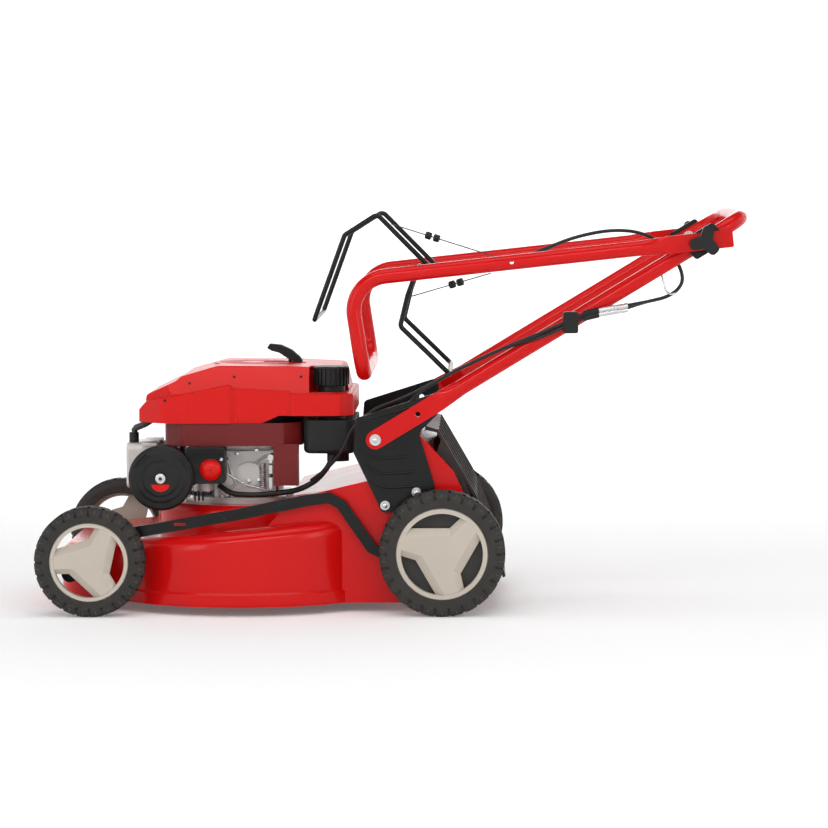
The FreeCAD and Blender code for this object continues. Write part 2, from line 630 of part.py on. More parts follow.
def make_link():
    """Flat bar on the left that makes both axles swing together."""
    top = [FRONT_PIN, (20, 122), (75, 131), (237, 159), (345, 181), (378, 185), (398, 174), (446, 104),
           (466, 94), REAR_PIN]
    upper = []
    lower = []
    for i in range(len(top)):
        before = V(*top[max(i - 1, 0)], 0)
        after = V(*top[min(i + 1, len(top) - 1)], 0)
        way = (after - before).normalize()
        upper.append((top[i][0] - way.y * LINK_HALF, top[i][1] + way.x * LINK_HALF))
        lower.append((top[i][0] + way.y * LINK_HALF, top[i][1] - way.x * LINK_HALF))
    bar = prism_y(upper + lower[::-1], -LINK_OUT, -LINK_IN)
    for pin in (FRONT_PIN, REAR_PIN):
        bar = bar.fuse(rod_y(pin[0], pin[1], LINK_HALF, -LINK_OUT, -LINK_IN))
    bar = bar.cut(rod_y(FRONT_PIN[0], FRONT_PIN[1], 4 + RUNNING_GAP, -OUTER, 0))
    bar = bar.cut(rod_y(REAR_PIN[0], REAR_PIN[1], 5, -OUTER, 0))
    slot = round_box(130, 150, -OUTER, 0, 140, 145, 2, "y")
    return bar.cut(slot).removeSplitter()


LINK_HALF = 9.0
BELT_Z = 101.0
GEARBOX_PULLEY_X = 505.0
ENGINE_PULLEY_R = 24.0
GEARBOX_PULLEY_R = 32.0


def make_belt():
    """Open belt loop round the two pulleys, straight runs tangent to both."""
    run = GEARBOX_PULLEY_X - CRANK_X
    lean = math.asin((GEARBOX_PULLEY_R - ENGINE_PULLEY_R) / run)

    def loop(extra):
        small = ENGINE_PULLEY_R + extra
        large = GEARBOX_PULLEY_R + extra
        points = []
        for cx, r, way in ((CRANK_X, small, 1), (GEARBOX_PULLEY_X, large, 1)):
            points.append(V(cx - r * math.sin(lean), r * math.cos(lean), BELT_Z - 5))
        a, b = points
        c = V(b.x, -b.y, b.z)
        d = V(a.x, -a.y, a.z)
        rear = Part.Arc(b, V(GEARBOX_PULLEY_X + large, 0, BELT_Z - 5), c).toShape()
        front = Part.Arc(d, V(CRANK_X - small, 0, BELT_Z - 5), a).toShape()
        sides = [Part.LineSegment(a, b).toShape(), Part.LineSegment(c, d).toShape()]
        face = Part.Face(Part.Wire([sides[0], rear, sides[1], front]))
        return face.extrude(V(0, 0, 10))

    return loop(7.5).cut(loop(0.5))


# ---------------------------------------------------------------- engine
BELT_SIDE = [(66, 299), (66, 319), (79, 333), (214, 360), (222, 354), (310, 350), (314, 346),
             (415, 346), (415, 311), (295, 311), (268, 299)]
TIER_SIDE = [(74, 305), (77, 342), (128, 366), (136, 373), (184, 387), (196, 390), (320, 389),
             (396, 385), (405, 350), (405, 320), (295, 315), (268, 305)]
GRILLE_R = 66.0
CAP_X = 378.0
CAP_Y = -92.0


def inset_side(side, inset):
    """Side outline shrunk at its ends and top, and let down through its bottom."""
    moved = []
    for x, z in side:
        sideways = inset if x < 100 else -inset if x > 390 else 0
        down = 0 if inset == 0 else 25 if z < 321 and not 70 > x > 60 else inset
        moved.append((x + sideways, z - down))
    return moved


def cover_form(inset):
    """Engine cover form shrunk by an inset: a wide belt below and a narrower tier on top."""
    half = COVER_HALF - inset
    belt = prism_y(inset_side(BELT_SIDE, inset), -200, 200, [0, 8, 8, 6, 4, 6, 4, 5, 0, 0, 0])
    plan = [(66 + inset, -half + 44), (104, -half + 6), (150, -half), (214 - inset, -half),
            (226 - inset, -half + 9), (306 + inset, -half + 9), (318 + inset, -half + 1), (395, -half + 1),
            (415 - inset, -half + 22)]
    plan += [(x, -y) for x, y in reversed(plan)]
    belt = belt.common(prism_z(plan, 200, 500, 8))
    tier = prism_y(inset_side(TIER_SIDE, inset), -200, 200, [0, 8, 8, 6, 10, 14, 10, 12, 6, 0, 0, 0])
    foot = 128 - inset
    top = 112 - inset
    front = [(-foot - 12, 250), (-foot, 345 - inset), (-top, 395 - inset), (top, 395 - inset),
             (foot, 345 - inset), (foot + 12, 250)]
    tier = tier.common(prism_x(front, 0, 500, [0, 0, 12, 12, 0, 0]))
    shape = [(74 + inset, -90), (120, -foot), (385, -foot), (405 - inset, -foot + 26)]
    shape += [(x, -y) for x, y in reversed(shape)]
    tier = tier.common(prism_z(shape, 200, 500, 14))
    return belt.fuse(tier)


def make_cover():
    cover = cover_form(0).cut(cover_form(COVER_WALL))
    pocket = rod_z(CAP_X, CAP_Y, 35, 347, 400)
    pocket = pocket.fuse(box(CAP_X - 35, 430, CAP_Y - 70, CAP_Y, 347, 400))
    cup = rod_z(CAP_X, CAP_Y, 37.5, 344, 380).fuse(box(CAP_X - 37.5, 411, -COVER_HALF + 8,
                                                       CAP_Y, 344, 380))
    cup = cup.common(cover_form(0.5))
    cover = cover.fuse(cup).cut(pocket)
    cover = cover.cut(rod_z(CAP_X, CAP_Y, 24, 300, 360))
    cover = cover.cut(rod_z(CRANK_X + 10, 0, GRILLE_R, 376, 400))
    cover = cover.cut(box(HANDLE_SLOT[0] - 4, HANDLE_SLOT[1] + 4, -14, 14, 376, 400))
    return cover.removeSplitter()


HANDLE_SLOT = (272.0, 328.0)


def make_grille():
    """Slatted air inlet over the recoil starter."""
    z0 = 384.0
    disc = rod_z(CRANK_X + 10, 0, GRILLE_R, z0, z0 + 6)
    slots = []
    for k in range(13):
        y = -54 + 9 * k
        half = math.sqrt((GRILLE_R - 8) ** 2 - y ** 2)
        slots.append(box(CRANK_X + 10 - half, CRANK_X + 10 + half, y - 2.4, y + 2.4, z0 - 1, z0 + 7))
    keep = rod_z(CRANK_X + 10, 0, 20, z0 - 2, z0 + 8)
    bars = disc.cut(Part.makeCompound(slots).cut(keep))
    post = rod_z(CRANK_X + 10, 0, 10, 352, z0)
    return bars.fuse(post).cut(box(262, 330, -12, 12, 370, 400)).removeSplitter()


def make_starter_grip():
    """T-shaped pull grip, curved like a hook, with its short rope end."""
    grip = prism_y([(268, 413), (273, 420), (292, 418), (309, 410), (322, 399), (328, 390), (317, 388),
                    (300, 397), (288, 405), (276, 408)], -9, 9, [2, 2, 3, 4, 3, 2, 2, 6, 5, 2])
    return grip.fuse(rod_z(306, 0, 3, 380, 396))



def blower_form(inset):
    half = 144 - inset
    plan = [(109 + inset, -half + 30), (140, -half), (300, -half), (332 - inset, -half + 30),
            (332 - inset, half - 30), (300, half), (140, half), (109 + inset, half - 30)]
    return prism_z(plan, 262 + inset, 299 + inset, 16)


def make_blower_housing():
    """Fan housing under the cover, with the shroud column at its rear left."""
    shell = blower_form(0).cut(blower_form(3))
    column = box(286, 326, -143, -110, 198, 265).cut(box(290, 322, -139, -100, 194, 262))
    shell = shell.fuse(column).cut(rod_z(CRANK_X, 0, 60, 250, 275))
    return shell.removeSplitter()


def make_crankcase():
    """Crankcase with its sump flange, side cover and finned cylinder towards the front."""
    base = rod_z(CRANK_X, 0, 105, SEAT_Z, SEAT_Z + 9)
    base = base.cut(box(301, 400, -120, 120, SEAT_Z, SEAT_Z + 9))
    block = round_box(184, 290, -82, 82, SEAT_Z + 9, 262, 14)
    side = round_box(200, 286, -92, -82, 176, 250, 9, "y")
    bosses = [rod_y(x, z, r, -97, -82) for x, z, r in ((207, 238, 7), (281, 245, 7), (207, 184, 6),
                                                     (280, 184, 6), (243, 212, 20))]
    barrel = rod_x(0, 222, 38, 92, 190)
    fins = [round_box(100 + 12 * k, 104 + 12 * k, -58, 58, 176, 262, 12, "x") for k in range(7)]
    case = fuse(base, block, side, barrel, *(bosses + fins))
    hollow = rod_z(CRANK_X, 0, 44, SEAT_Z + 14, 250)
    case = case.cut(hollow).cut(rod_z(CRANK_X, 0, 13 + RUNNING_GAP, 100, 300))
    for x, y in ENGINE_BOLTS:
        case = case.cut(rod_z(x, y, 4.2, 150, 180))
    return case


def make_crankshaft():
    """Vertical crankshaft with one throw inside the crankcase."""
    shaft = rod_z(CRANK_X, 0, 13, SEAT_Z - 8, 272)
    webs = [rod_z(CRANK_X, 0, 40, 196, 206), rod_z(CRANK_X, 0, 40, 222, 232)]
    nose = rod_z(CRANK_X, 0, 11, 62, SEAT_Z - 8)
    stub = rod_z(CRANK_X, 0, 10, 272, 340)
    return fuse(shaft, nose, stub, *webs)


def make_flywheel():
    """Cast flywheel with curved cooling vanes on top."""
    rim = rod_z(CRANK_X, 0, 92, 280, 304).cut(rod_z(CRANK_X, 0, 10.0, 270, 310))
    vanes = []
    for k in range(16):
        vane = box(CRANK_X + 50, CRANK_X + 90, -2, 2, 304, 328)
        vane.rotate(V(CRANK_X, 0, 0), V(0, 0, 1), 22.5 * k)
        vanes.append(vane)
    return fuse(rim, *vanes)


def make_blade():
    """Blade with cutting edges and turned-up wings at its tips."""
    half = BLADE_LENGTH / 2
    bar = prism_x([(-26, 44), (26, 44), (26, 48), (-26, 48)], CRANK_X - half, CRANK_X + half)
    wing = prism_x([(26, 44), (30, 60), (26.5, 61), (22, 48), (22, 44)], CRANK_X + half - 90,
                   CRANK_X + half)
    other = wing.copy()
    other.rotate(V(CRANK_X, 0, 0), V(0, 0, 1), 180)
    blade = bar.common(rod_z(CRANK_X, 0, half, 0, 100))
    blade = fuse(blade, wing.common(rod_z(CRANK_X, 0, half, 0, 100)),
                 other.common(rod_z(CRANK_X, 0, half, 0, 100)))
    return blade.cut(rod_z(CRANK_X, 0, 5.2, 30, 80))


def make_adapter():
    """Blade adapter with the drive pulley turned on it."""
    boss = rod_z(CRANK_X, 0, 22, 48, 92)
    low = rod_z(CRANK_X, 0, 34, 92, 94)
    groove = rod_z(CRANK_X, 0, ENGINE_PULLEY_R, 94, 108)
    high = rod_z(CRANK_X, 0, 34, 108, 110)
    body = fuse(boss, low, groove, high).cut(rod_z(CRANK_X, 0, 11.0, 62, 120))
    return body.cut(rod_z(CRANK_X, 0, 5.2, 40, 70))


def make_blade_bolt():
    head = prism_z([polar(CRANK_X, 0, 11, 60 * k) for k in range(6)], 33, 41)
    return fuse(head, rod_z(CRANK_X, 0, 15, 41, 44), rod_z(CRANK_X, 0, 5.0, 41, 62))


def make_tank():
    tank = round_box(334, 418, -140, 60, 249, 303, 16)
    tank = tank.makeFillet(8, [e for e in tank.Edges if e.BoundBox.ZMax < 249.5])
    lobe = rod_z(388, CAP_Y, 18, 234, 256)
    neck = rod_z(CAP_X, CAP_Y, 22, 300, 356)
    tank = fuse(tank, lobe, neck)
    hollow = round_box(338, 414, -136, 56, 253, 299, 12)
    return tank.cut(hollow).cut(rod_z(CAP_X, CAP_Y, 18, 280, 360))


def make_cap():
    cap = rod_z(CAP_X, CAP_Y, 29, 358, 388)
    cap = cap.makeFillet(3, [e for e in cap.Edges if e.BoundBox.ZMin > 387])
    grooves = [placed_z(box(26.5, 31, -1.8, 1.8, 357, 384), CAP_X, CAP_Y, 15 * k) for k in range(24)]
    cap = cap.cut(Part.makeCompound(grooves))
    return cap.cut(rod_z(CAP_X, CAP_Y, 24, 355, 368)).fuse(rod_z(CAP_X, CAP_Y, 17.4, 345, 369))


def placed_z(shape, x, y, degrees):
    copy = shape.copy()
    copy.rotate(V(0, 0, 0), V(0, 0, 1), degrees)
    copy.translate(V(x, y, 0))
    return copy


FILTER_X = 108.0
FILTER_Z = 214.0
FILTER_R = 52.0
PRIMER_X = 186.0
PRIMER_Z = 226.0
PRIMER_R = 17.5


def make_filter_housing():
    drum = rod_y(FILTER_X, FILTER_Z, FILTER_R - 2, -128, -168)
    hollow = rod_y(FILTER_X, FILTER_Z, FILTER_R - 6, -132, -170)
    block = round_box(146, 209, -162, -118, 203, 262, 5, "y")
    ribs = [box(152, 206, -163.5, -160, 249 + 4 * k, 251 + 4 * k) for k in range(3)]
    bridge = box(120, 160, -150, -128, 200, 244)
    body = fuse(block, drum, bridge, *ribs).cut(hollow)
    body = body.cut(rod_y(PRIMER_X, PRIMER_Z, PRIMER_R + 0.5, -170, -150))
    return body.cut(rod_y(PRIMER_X, PRIMER_Z, 8, -170, -100))


def make_filter_cover():
    y0 = -168.3
    disc = turned_y(FILTER_X, FILTER_Z, [(0, y0), (FILTER_R, y0), (FILTER_R, y0 - 13),
                                         (FILTER_R - 4, y0 - 17), (40, y0 - 18), (37, y0 - 20),
                                         (30, y0 - 20), (27, y0 - 22), (10, y0 - 22), (8, y0 - 19),
                                         (0, y0 - 19)])
    notches = []
    for k in range(6):
        tip = polar(FILTER_X, FILTER_Z, FILTER_R + 1, 30 + 60 * k)
        notches.append(rod_y(tip[0], tip[1], 3.5, y0, y0 - 12))
    return disc.cut(Part.makeCompound(notches))


def make_primer():
    dome = Part.makeSphere(PRIMER_R + 6, V(PRIMER_X, -148, PRIMER_Z))
    dome = dome.common(rod_y(PRIMER_X, PRIMER_Z, PRIMER_R, -180, -156))
    return dome


def make_carburettor():
    body = round_box(150, 190, -117, -70, 206, 240, 6, "y")
    bowl = rod_z(170, -98, 17, 186, 206)
    flange = round_box(148, 192, -70, -66, 200, 246, 6, "y")
    neck = rod_y(170, 223, 12, -66, -58)
    return fuse(body, bowl, flange, neck).cut(rod_y(170, 223, 8, -118, -57))


def make_muffler():
    can = round_box(96, 200, 96, 142, 188, 252, 14, "y")
    can = can.makeFillet(6, [e for e in can.Edges if e.BoundBox.YMin > 141])
    pipe = rod_y(150, 220, 11, 58.2, 96)
    guard = [box(102, 194, 142, 144, 198 + 14 * k, 204 + 14 * k) for k in range(4)]
    return fuse(can, pipe, *guard)


def make_head():
    block = round_box(64, 92, -50, 50, 180, 262, 10, "x")
    fins = [box(66, 90, -62, 62, 186 + 14 * k, 190 + 14 * k) for k in range(6)]
    return fuse(block, *fins)


def make_rocker_cover():
    cap = round_box(38, 64, -44, 44, 184, 260, 12, "x")
    return cap.makeFillet(5, [e for e in cap.Edges if e.BoundBox.XMax < 38.5])


def make_linkage():
    """Governor arm, throttle link and return spring on the left of the crankcase."""
    arm = fuse(rod_y(279, 240, 5, -104, -98), box(276.5, 281.5, -104, -101, 180, 240))
    link = wire_rod([V(279, -105.5, 186), V(240, -112, 196), V(196, -112, 222)], 1.5, 14)
    spring = Part.makeHelix(3.2, 44, 5)
    spring.translate(V(266, -104, 188))
    coil = Part.Wire(spring.Edges)
    start = Part.Wire([Part.Circle(V(271, -104, 188), V(0, 1, 0.1), 0.8).toShape()])
    return arm.fuse(link), coil.makePipeShell([start], True, True)


def make_flap():
    outer = [(532, 296), (552, 290), (588, 228), (612, 186), (630, 140), (652, 78), (659, 54)]
    inner = [(x - 4.4, z - 2.2) for x, z in outer]
    inner[0] = (526, 291)
    inner[1] = (549, 285.6)
    flap = prism_y(outer + inner[::-1], -FLAP_HALF, FLAP_HALF)
    cheek = prism_y([(556, 274), (586, 222), (604, 186), (590, 178), (548, 250)],
                    -FLAP_HALF, -FLAP_HALF + 4)
    barrel = rod_y(FLAP_HINGE[0], FLAP_HINGE[1], 6, -FLAP_HALF, FLAP_HALF)
    flap = fuse(flap, barrel, *both_sides(cheek))
    return flap.cut(rod_y(FLAP_HINGE[0], FLAP_HINGE[1], 3.4, -200, 200))


FLAP_HINGE = (528.0, 294.0)


def make_hinge_rod():
    """Flap hinge rod held by two ears between the brackets."""
    rod = rod_y(FLAP_HINGE[0], FLAP_HINGE[1], 3, -BRACKET_IN, BRACKET_IN)
    return rod


# ---------------------------------------------------------------- build everything
def build():
    emit("deck_housing", make_deck())
    bracket = make_bracket()
    left, right = both_sides(bracket)
    emit("left_handle_bracket", left)
    emit("right_handle_bracket", right)
    bolts = []
    for x, z in BRACKET_BOLTS:
        bolts.append(hex_bolt(x, z, -BRACKET_OUT, -REAR_HALF + 10, 4.0, 10.0, 7.5))
        bolts.append(hex_bolt(x, z, BRACKET_OUT, REAR_HALF - 10, 4.0, 10.0, 7.5, LOW_HEAD))
    emit("bracket_bolts", *bolts)
    emit("lower_handle", make_lower_handle())
    pivots = both_sides(hex_bolt(PIVOT_X, PIVOT_Z, -FLAT_IN - FLAT_T, -BRACKET_IN + 12))
    tip = -UPPER_FLAT_IN - UPPER_FLAT_T - 14
    fold_bolt = fuse(rod_y(FOLD_X, FOLD_Z, 4.0, -LOWER_LEG_Y + HANDLE_TUBE_R, tip),
                     rod_y(FOLD_X, FOLD_Z, 9, -LOWER_LEG_Y + HANDLE_TUBE_R + 4,
                           -LOWER_LEG_Y + HANDLE_TUBE_R))
    emit("handle_bolts", *(pivots + both_sides(fold_bolt)))
    emit("fold_spacers", *both_sides(make_spacer()))
    emit("height_notch_plate", make_notch_plate())
    straps = both_sides(ring_y(FRONT_PIVOT[0], FRONT_PIVOT[1], 14, STUB_R + RUNNING_GAP,
                               -NOSE_HALF, -NOSE_HALF - 9))
    rear_straps = both_sides(ring_y(REAR_PIVOT[0], REAR_PIVOT[1], 16, STUB_R + RUNNING_GAP,
                                    -REAR_HALF + DECK_WALL, -REAR_HALF + DECK_WALL + 8))
    emit("axle_bearings", *(straps + rear_straps))
    emit("hinge_rod", make_hinge_rod())
    crankcase = make_crankcase()
    emit("crankcase", crankcase)
    emit("cylinder_head", make_head())
    emit("rocker_cover", make_rocker_cover())
    lead = [V(50, -30, 270), V(52, -32, 283), V(70, -44, 290.5), V(90, -54, 304)]
    boot = rod_z(50, -30, 8, 260, 276).cut(rod_z(50, -30, 4.5, 270, 280))
    emit("plug_lead", wire_rod(lead, 4.5, 10), boot)
    emit("blower_housing", make_blower_housing())
    emit("engine_cover", make_cover())
    emit("starter_grille", make_grille())
    emit("fuel_tank", make_tank())
    emit("carburettor", make_carburettor().cut(crankcase))
    emit("air_filter_housing", make_filter_housing())
    emit("air_filter_cover", make_filter_cover())
    emit("muffler", make_muffler())
    emit("governor_linkage", *make_linkage())
    emit("gearbox", fuse(round_box(494, 548, -26, 26, 52, 92, 8, "y"),
                         rod_z(GEARBOX_PULLEY_X, 0, 9, 92, 94))
         .cut(rod_y(REAR_PIVOT[0], REAR_PIVOT[1], STUB_R + RUNNING_GAP, -40, 40)))
    emit("gearbox_pulley", fuse(rod_z(GEARBOX_PULLEY_X, 0, 40, 94.4, 96),
                                rod_z(GEARBOX_PULLEY_X, 0, GEARBOX_PULLEY_R, 96, 106),
                                rod_z(GEARBOX_PULLEY_X, 0, 40, 106, 107.6)))
    emit("drive_belt", make_belt())
    emit("drive_shaft", rod_y(REAR_PIVOT[0], REAR_PIVOT[1], STUB_R, -OUTER + 19, OUTER - 19))
    emit("front_axle", make_front_axle())
    emit("rear_carrier", make_rear_carrier())
    emit("height_link", make_link())
    front_tyre = make_tyre(0, FRONT_Z, FRONT_TYRE_D, FRONT_TYRE_W, FRONT_TRIM_R, 24)
    rear_tyre = make_tyre(WHEELBASE, REAR_Z, REAR_TYRE_D, REAR_TYRE_W, REAR_TRIM_R, 26)
    front_trim = make_trim(0, FRONT_Z, FRONT_TRIM_R, FRONT_TYRE_W, 17)
    rear_trim = make_trim(WHEELBASE, REAR_Z, REAR_TRIM_R, REAR_TYRE_W, 0)
    ring = make_ring_gear(WHEELBASE, REAR_Z)
    pinion = make_pinion()
    for name, side in (("left", -1), ("right", 1)):
        emit("front_%s_tyre" % name, on_side(side, front_tyre))
        emit("front_%s_trim" % name, on_side(side, front_trim))
        emit("rear_%s_tyre" % name, on_side(side, rear_tyre))
        emit("rear_%s_trim" % name, on_side(side, rear_trim))
        emit("%s_ring_gear" % name, on_side(side, ring))
        emit("%s_pinion" % name, on_side(side, pinion))
        emit("%s_star_knob" % name, on_side(side, make_knob()))
    emit("crankshaft", make_crankshaft())
    emit("flywheel", make_flywheel())
    emit("blade", make_blade())
    emit("blade_adapter", make_adapter(), make_blade_bolt())
    emit("starter_grip", make_starter_grip())
    emit("primer_bulb", make_primer())
    emit("fuel_cap", make_cap())
    emit("discharge_flap", make_flap())
    emit("upper_handle", make_upper_handle())
    emit("drive_bail", make_bail(DRIVE_BAIL_PIVOT, DRIVE_BAIL, DRIVE_BAIL_Y))
    emit("brake_bail", make_bail(BRAKE_BAIL_PIVOT, BRAKE_BAIL, BRAKE_BAIL_Y))
    build_cables()


def build_cables():
    """Fuel hose, bail wires and the two control cables."""
    hose = [V(196, -112, 196), V(216, -122, 183), V(250, -126, 181), V(290, -127, 184),
            V(328, -127, 190), V(356, -127, 206), V(374, -126, 228), V(380.6, -124.4, 245.4)]
    emit("fuel_hose", cord("fuel hose", hose, 4.5))
    wires = []
    ferrules = []
    routes = ((DRIVE_BAIL_Y, (477.5, 618.6), (650, 565), 0.38),
              (BRAKE_BAIL_Y, (510, 503), (636, 541), 0.56))
    for bail_y, low, high, share in routes:
        start = V(low[0], -bail_y, low[1])
        end = V(high[0], -UPPER_LEG_Y + UPPER_TUBE_R + 3, high[1])
        way = end - start
        unit = V(way.x, way.y, way.z).normalize()
        wires.append(Part.makeCylinder(0.9, way.Length, start, way))
        for step in (-11, 3):
            at = start + way * share + unit * step
            ferrules.append(Part.makeCylinder(6, 9, at, way).cut(Part.makeCylinder(0.9, 9, at, way)))
    emit("bail_wires", *(wires + ferrules))
    uppers = []
    lowers = []
    for index, gap in enumerate((0.0, 6.5)):
        upper = [V(690, -196 + gap, 566 - gap), V(729, -192 + gap, 583), V(778, -182 + gap, 600),
                 V(831, -173 + gap, 609), V(880, -168 + gap, 604), V(920, -166 + gap, 578),
                 V(940, -165 + gap, 546)]
        uppers.append(cord("upper cable %d" % index, upper, CABLE_R))
        lower = [V(940.2, -165.2 + gap, 542.6), V(942, -167 + gap, 521), V(920, -176 + gap, 502),
                 V(880, -190 + gap, 494), V(836, -205, 487 - gap), V(793, -211, 480 - gap),
                 V(760, -211, 466 - gap), V(712, -208, 445 - gap), V(660, -200 + gap, 424),
                 V(608, -192 + gap, 400), V(556, -188 + gap, 373)]
        if index == 0:
            lower += [V(508, -186, 342), V(488, -187, 300), V(486, -187, 256)]
        else:
            lower += [V(500, -178, 342), V(452, -176, 326), V(414, -174, 296), V(398, -168, 256),
                      V(374, -152, 226), V(346, -138, 206)]
        lowers.append(cord("lower cable %d" % index, lower, CABLE_R))
    emit("control_cables_upper", *uppers)
    emit("control_cables_lower", *lowers)
    clip = round_box(750, 774, -214.5, -200, 446, 480, 4, "y")
    hold = rod_x(-LOWER_LEG_Y, 0, HANDLE_TUBE_R, -60, 60)
    clip = clip.cut(placed(hold, *along_lower(360), LOWER_ANGLE))
    emit("cable_clip", clip.cut(Part.makeCompound(lowers)))


def middle_of_footprint():
    whole = Part.makeCompound([shape for name, shape in PIECES]).BoundBox
    return V(-(whole.XMin + whole.XMax) / 2, -(whole.YMin + whole.YMax) / 2, -whole.ZMin)


build()
MOVE = middle_of_footprint()
os.makedirs("parts", exist_ok=True)
for node, form in PIECES:
    form.translate(MOVE)
    form.exportStep("parts/%s.step" % node)
    sound = all(solid.isValid() for solid in form.Solids)
    state = "" if sound else "BAD"
    print("%-24s %2d solids %9.0f mm3 %s" % (node, len(form.Solids), form.Volume, state))
print("nodes", len(PIECES), "moved by", MOVE)
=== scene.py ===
# %% [markdown]
# A walk-behind petrol mower with its handle folded over the engine.  The fixed parts come from the
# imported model; this lesson gives each of them its finish and adds what is soft, thin or small:
# the control cables, the bail wires, springs, screws, ribs and slots.

# %% Load the frame
import math
import bpy
import bmesh
from mathutils import Matrix, Vector


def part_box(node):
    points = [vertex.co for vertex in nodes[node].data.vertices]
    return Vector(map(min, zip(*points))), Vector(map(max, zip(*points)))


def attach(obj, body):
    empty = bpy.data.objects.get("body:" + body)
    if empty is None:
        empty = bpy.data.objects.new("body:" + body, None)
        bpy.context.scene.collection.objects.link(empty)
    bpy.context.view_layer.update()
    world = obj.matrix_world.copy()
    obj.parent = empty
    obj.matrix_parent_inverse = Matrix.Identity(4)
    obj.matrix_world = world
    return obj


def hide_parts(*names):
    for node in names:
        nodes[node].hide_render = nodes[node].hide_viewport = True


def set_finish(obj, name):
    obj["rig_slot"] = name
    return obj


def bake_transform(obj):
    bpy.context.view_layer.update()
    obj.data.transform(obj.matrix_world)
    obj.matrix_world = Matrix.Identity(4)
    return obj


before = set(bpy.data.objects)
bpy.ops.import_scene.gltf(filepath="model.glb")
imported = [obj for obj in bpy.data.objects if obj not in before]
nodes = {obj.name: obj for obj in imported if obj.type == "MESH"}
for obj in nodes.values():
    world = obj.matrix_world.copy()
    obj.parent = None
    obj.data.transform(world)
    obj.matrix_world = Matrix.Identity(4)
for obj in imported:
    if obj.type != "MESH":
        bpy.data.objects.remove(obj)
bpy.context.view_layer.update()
MM = 0.001

# %% [markdown]
# Every place is worked out from the frame.  The handiest origin on a mower is the front axle at
# ground level, so a small helper turns "millimetres behind the front axle" into scene metres.

# %% Places
wheel_low, wheel_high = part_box("front_left_tyre")
AXLE_X = (wheel_low[0] + wheel_high[0]) / 2


def place(x, y, z):
    """Millimetres from the front axle, the middle plane and the ground, in scene metres."""
    return Vector((AXLE_X + x * MM, y * MM, z * MM))


print("front axle at", round(AXLE_X, 4))

# %% [markdown]
# The camera stands low, five and a half metres to the mower's left, with a long lens, so the side
# view is nearly flat: the far wheels show just inside the near ones.

# %% Camera
camera_data = bpy.data.cameras.new("side_camera")
camera = bpy.data.objects.new("side_camera", camera_data)
bpy.context.collection.objects.link(camera)
camera_data.sensor_width = 36.0
camera_data.lens = 142.58
camera_data.clip_end = 60.0
camera.location = place(610.5, -5395.5, 704.3)
camera.rotation_euler = (math.radians(90 - 4.255), math.radians(0.183), math.radians(1.055))
bpy.context.scene.camera = camera

# %% [markdown]
# A studio: one pale sheet that is the floor and curves up into a wall all round, so no horizon shows
# from any side.  The wall glows a little, which keeps it pale far from the lamps.  Broad area lights
# give painted tubes their long soft highlights.

# %% Floor and lights
FLOOR_R = 7.0
BOWL_R = 2.2
WALL_TOP = 7.0
GLOW_START = 1.0
GLOW_NEAR = 0.1
GLOW_FAR = 0.42


def studio_bowl():
    """A round floor that sweeps up into a softly glowing wall, so that every side has a backdrop."""
    shape = bmesh.new()
    profile = [(0.0, 0.0), (FLOOR_R, 0.0)]
    for step in range(1, 13):
        angle = math.pi / 2 * step / 12
        profile.append((FLOOR_R + BOWL_R * math.sin(angle), BOWL_R * (1 - math.cos(angle))))
    profile.append((FLOOR_R + BOWL_R, WALL_TOP))
    line = [shape.verts.new((r, 0, z)) for r, z in profile]
    edges = [shape.edges.new(pair) for pair in zip(line, line[1:])]
    bmesh.ops.spin(shape, geom=line + edges, cent=(0, 0, 0), axis=(0, 0, 1), steps=64,
                   angle=2 * math.pi, use_merge=True)
    bmesh.ops.remove_doubles(shape, verts=shape.verts, dist=1e-5)
    mesh = bpy.data.meshes.new("studio_bowl")
    for face in shape.faces:
        face.smooth = True
    shape.to_mesh(mesh)
    shape.free()
    bowl = bpy.data.objects.new("studio_bowl", mesh)
    bpy.context.collection.objects.link(bowl)
    paper = bpy.data.materials.new("backdrop_paper")
    paper.use_nodes = True
    tree = paper.node_tree
    shader = tree.nodes["Principled BSDF"]
    shader.inputs["Base Color"].default_value = (0.92, 0.92, 0.92, 1)
    shader.inputs["Roughness"].default_value = 0.9
    shader.inputs["Specular IOR Level"].default_value = 0.0
    shader.inputs["Emission Color"].default_value = (1, 1, 1, 1)
    where = tree.nodes.new("ShaderNodeTexCoord")
    radius = tree.nodes.new("ShaderNodeVectorMath")
    radius.operation = "LENGTH"
    tree.links.new(where.outputs["Object"], radius.inputs[0])
    glow = tree.nodes.new("ShaderNodeMapRange")
    glow.inputs["From Min"].default_value = GLOW_START
    glow.inputs["From Max"].default_value = FLOOR_R
    glow.inputs["To Min"].default_value = GLOW_NEAR
    glow.inputs["To Max"].default_value = GLOW_FAR
    tree.links.new(radius.outputs["Value"], glow.inputs["Value"])
    tree.links.new(glow.outputs["Result"], shader.inputs["Emission Strength"])
    mesh.materials.append(paper)


def area_light(name, where, aim, width, height, watts, tint=(1, 1, 1)):
    data = bpy.data.lights.new(name, "AREA")
    data.shape = "RECTANGLE"
    data.size = width
    data.size_y = height
    data.energy = watts
    data.color = tint
    lamp = bpy.data.objects.new(name, data)
    bpy.context.collection.objects.link(lamp)
    lamp.location = where
    lamp.rotation_euler = (Vector(aim) - Vector(where)).to_track_quat("-Z", "Y").to_euler()
    lamp.visible_camera = False


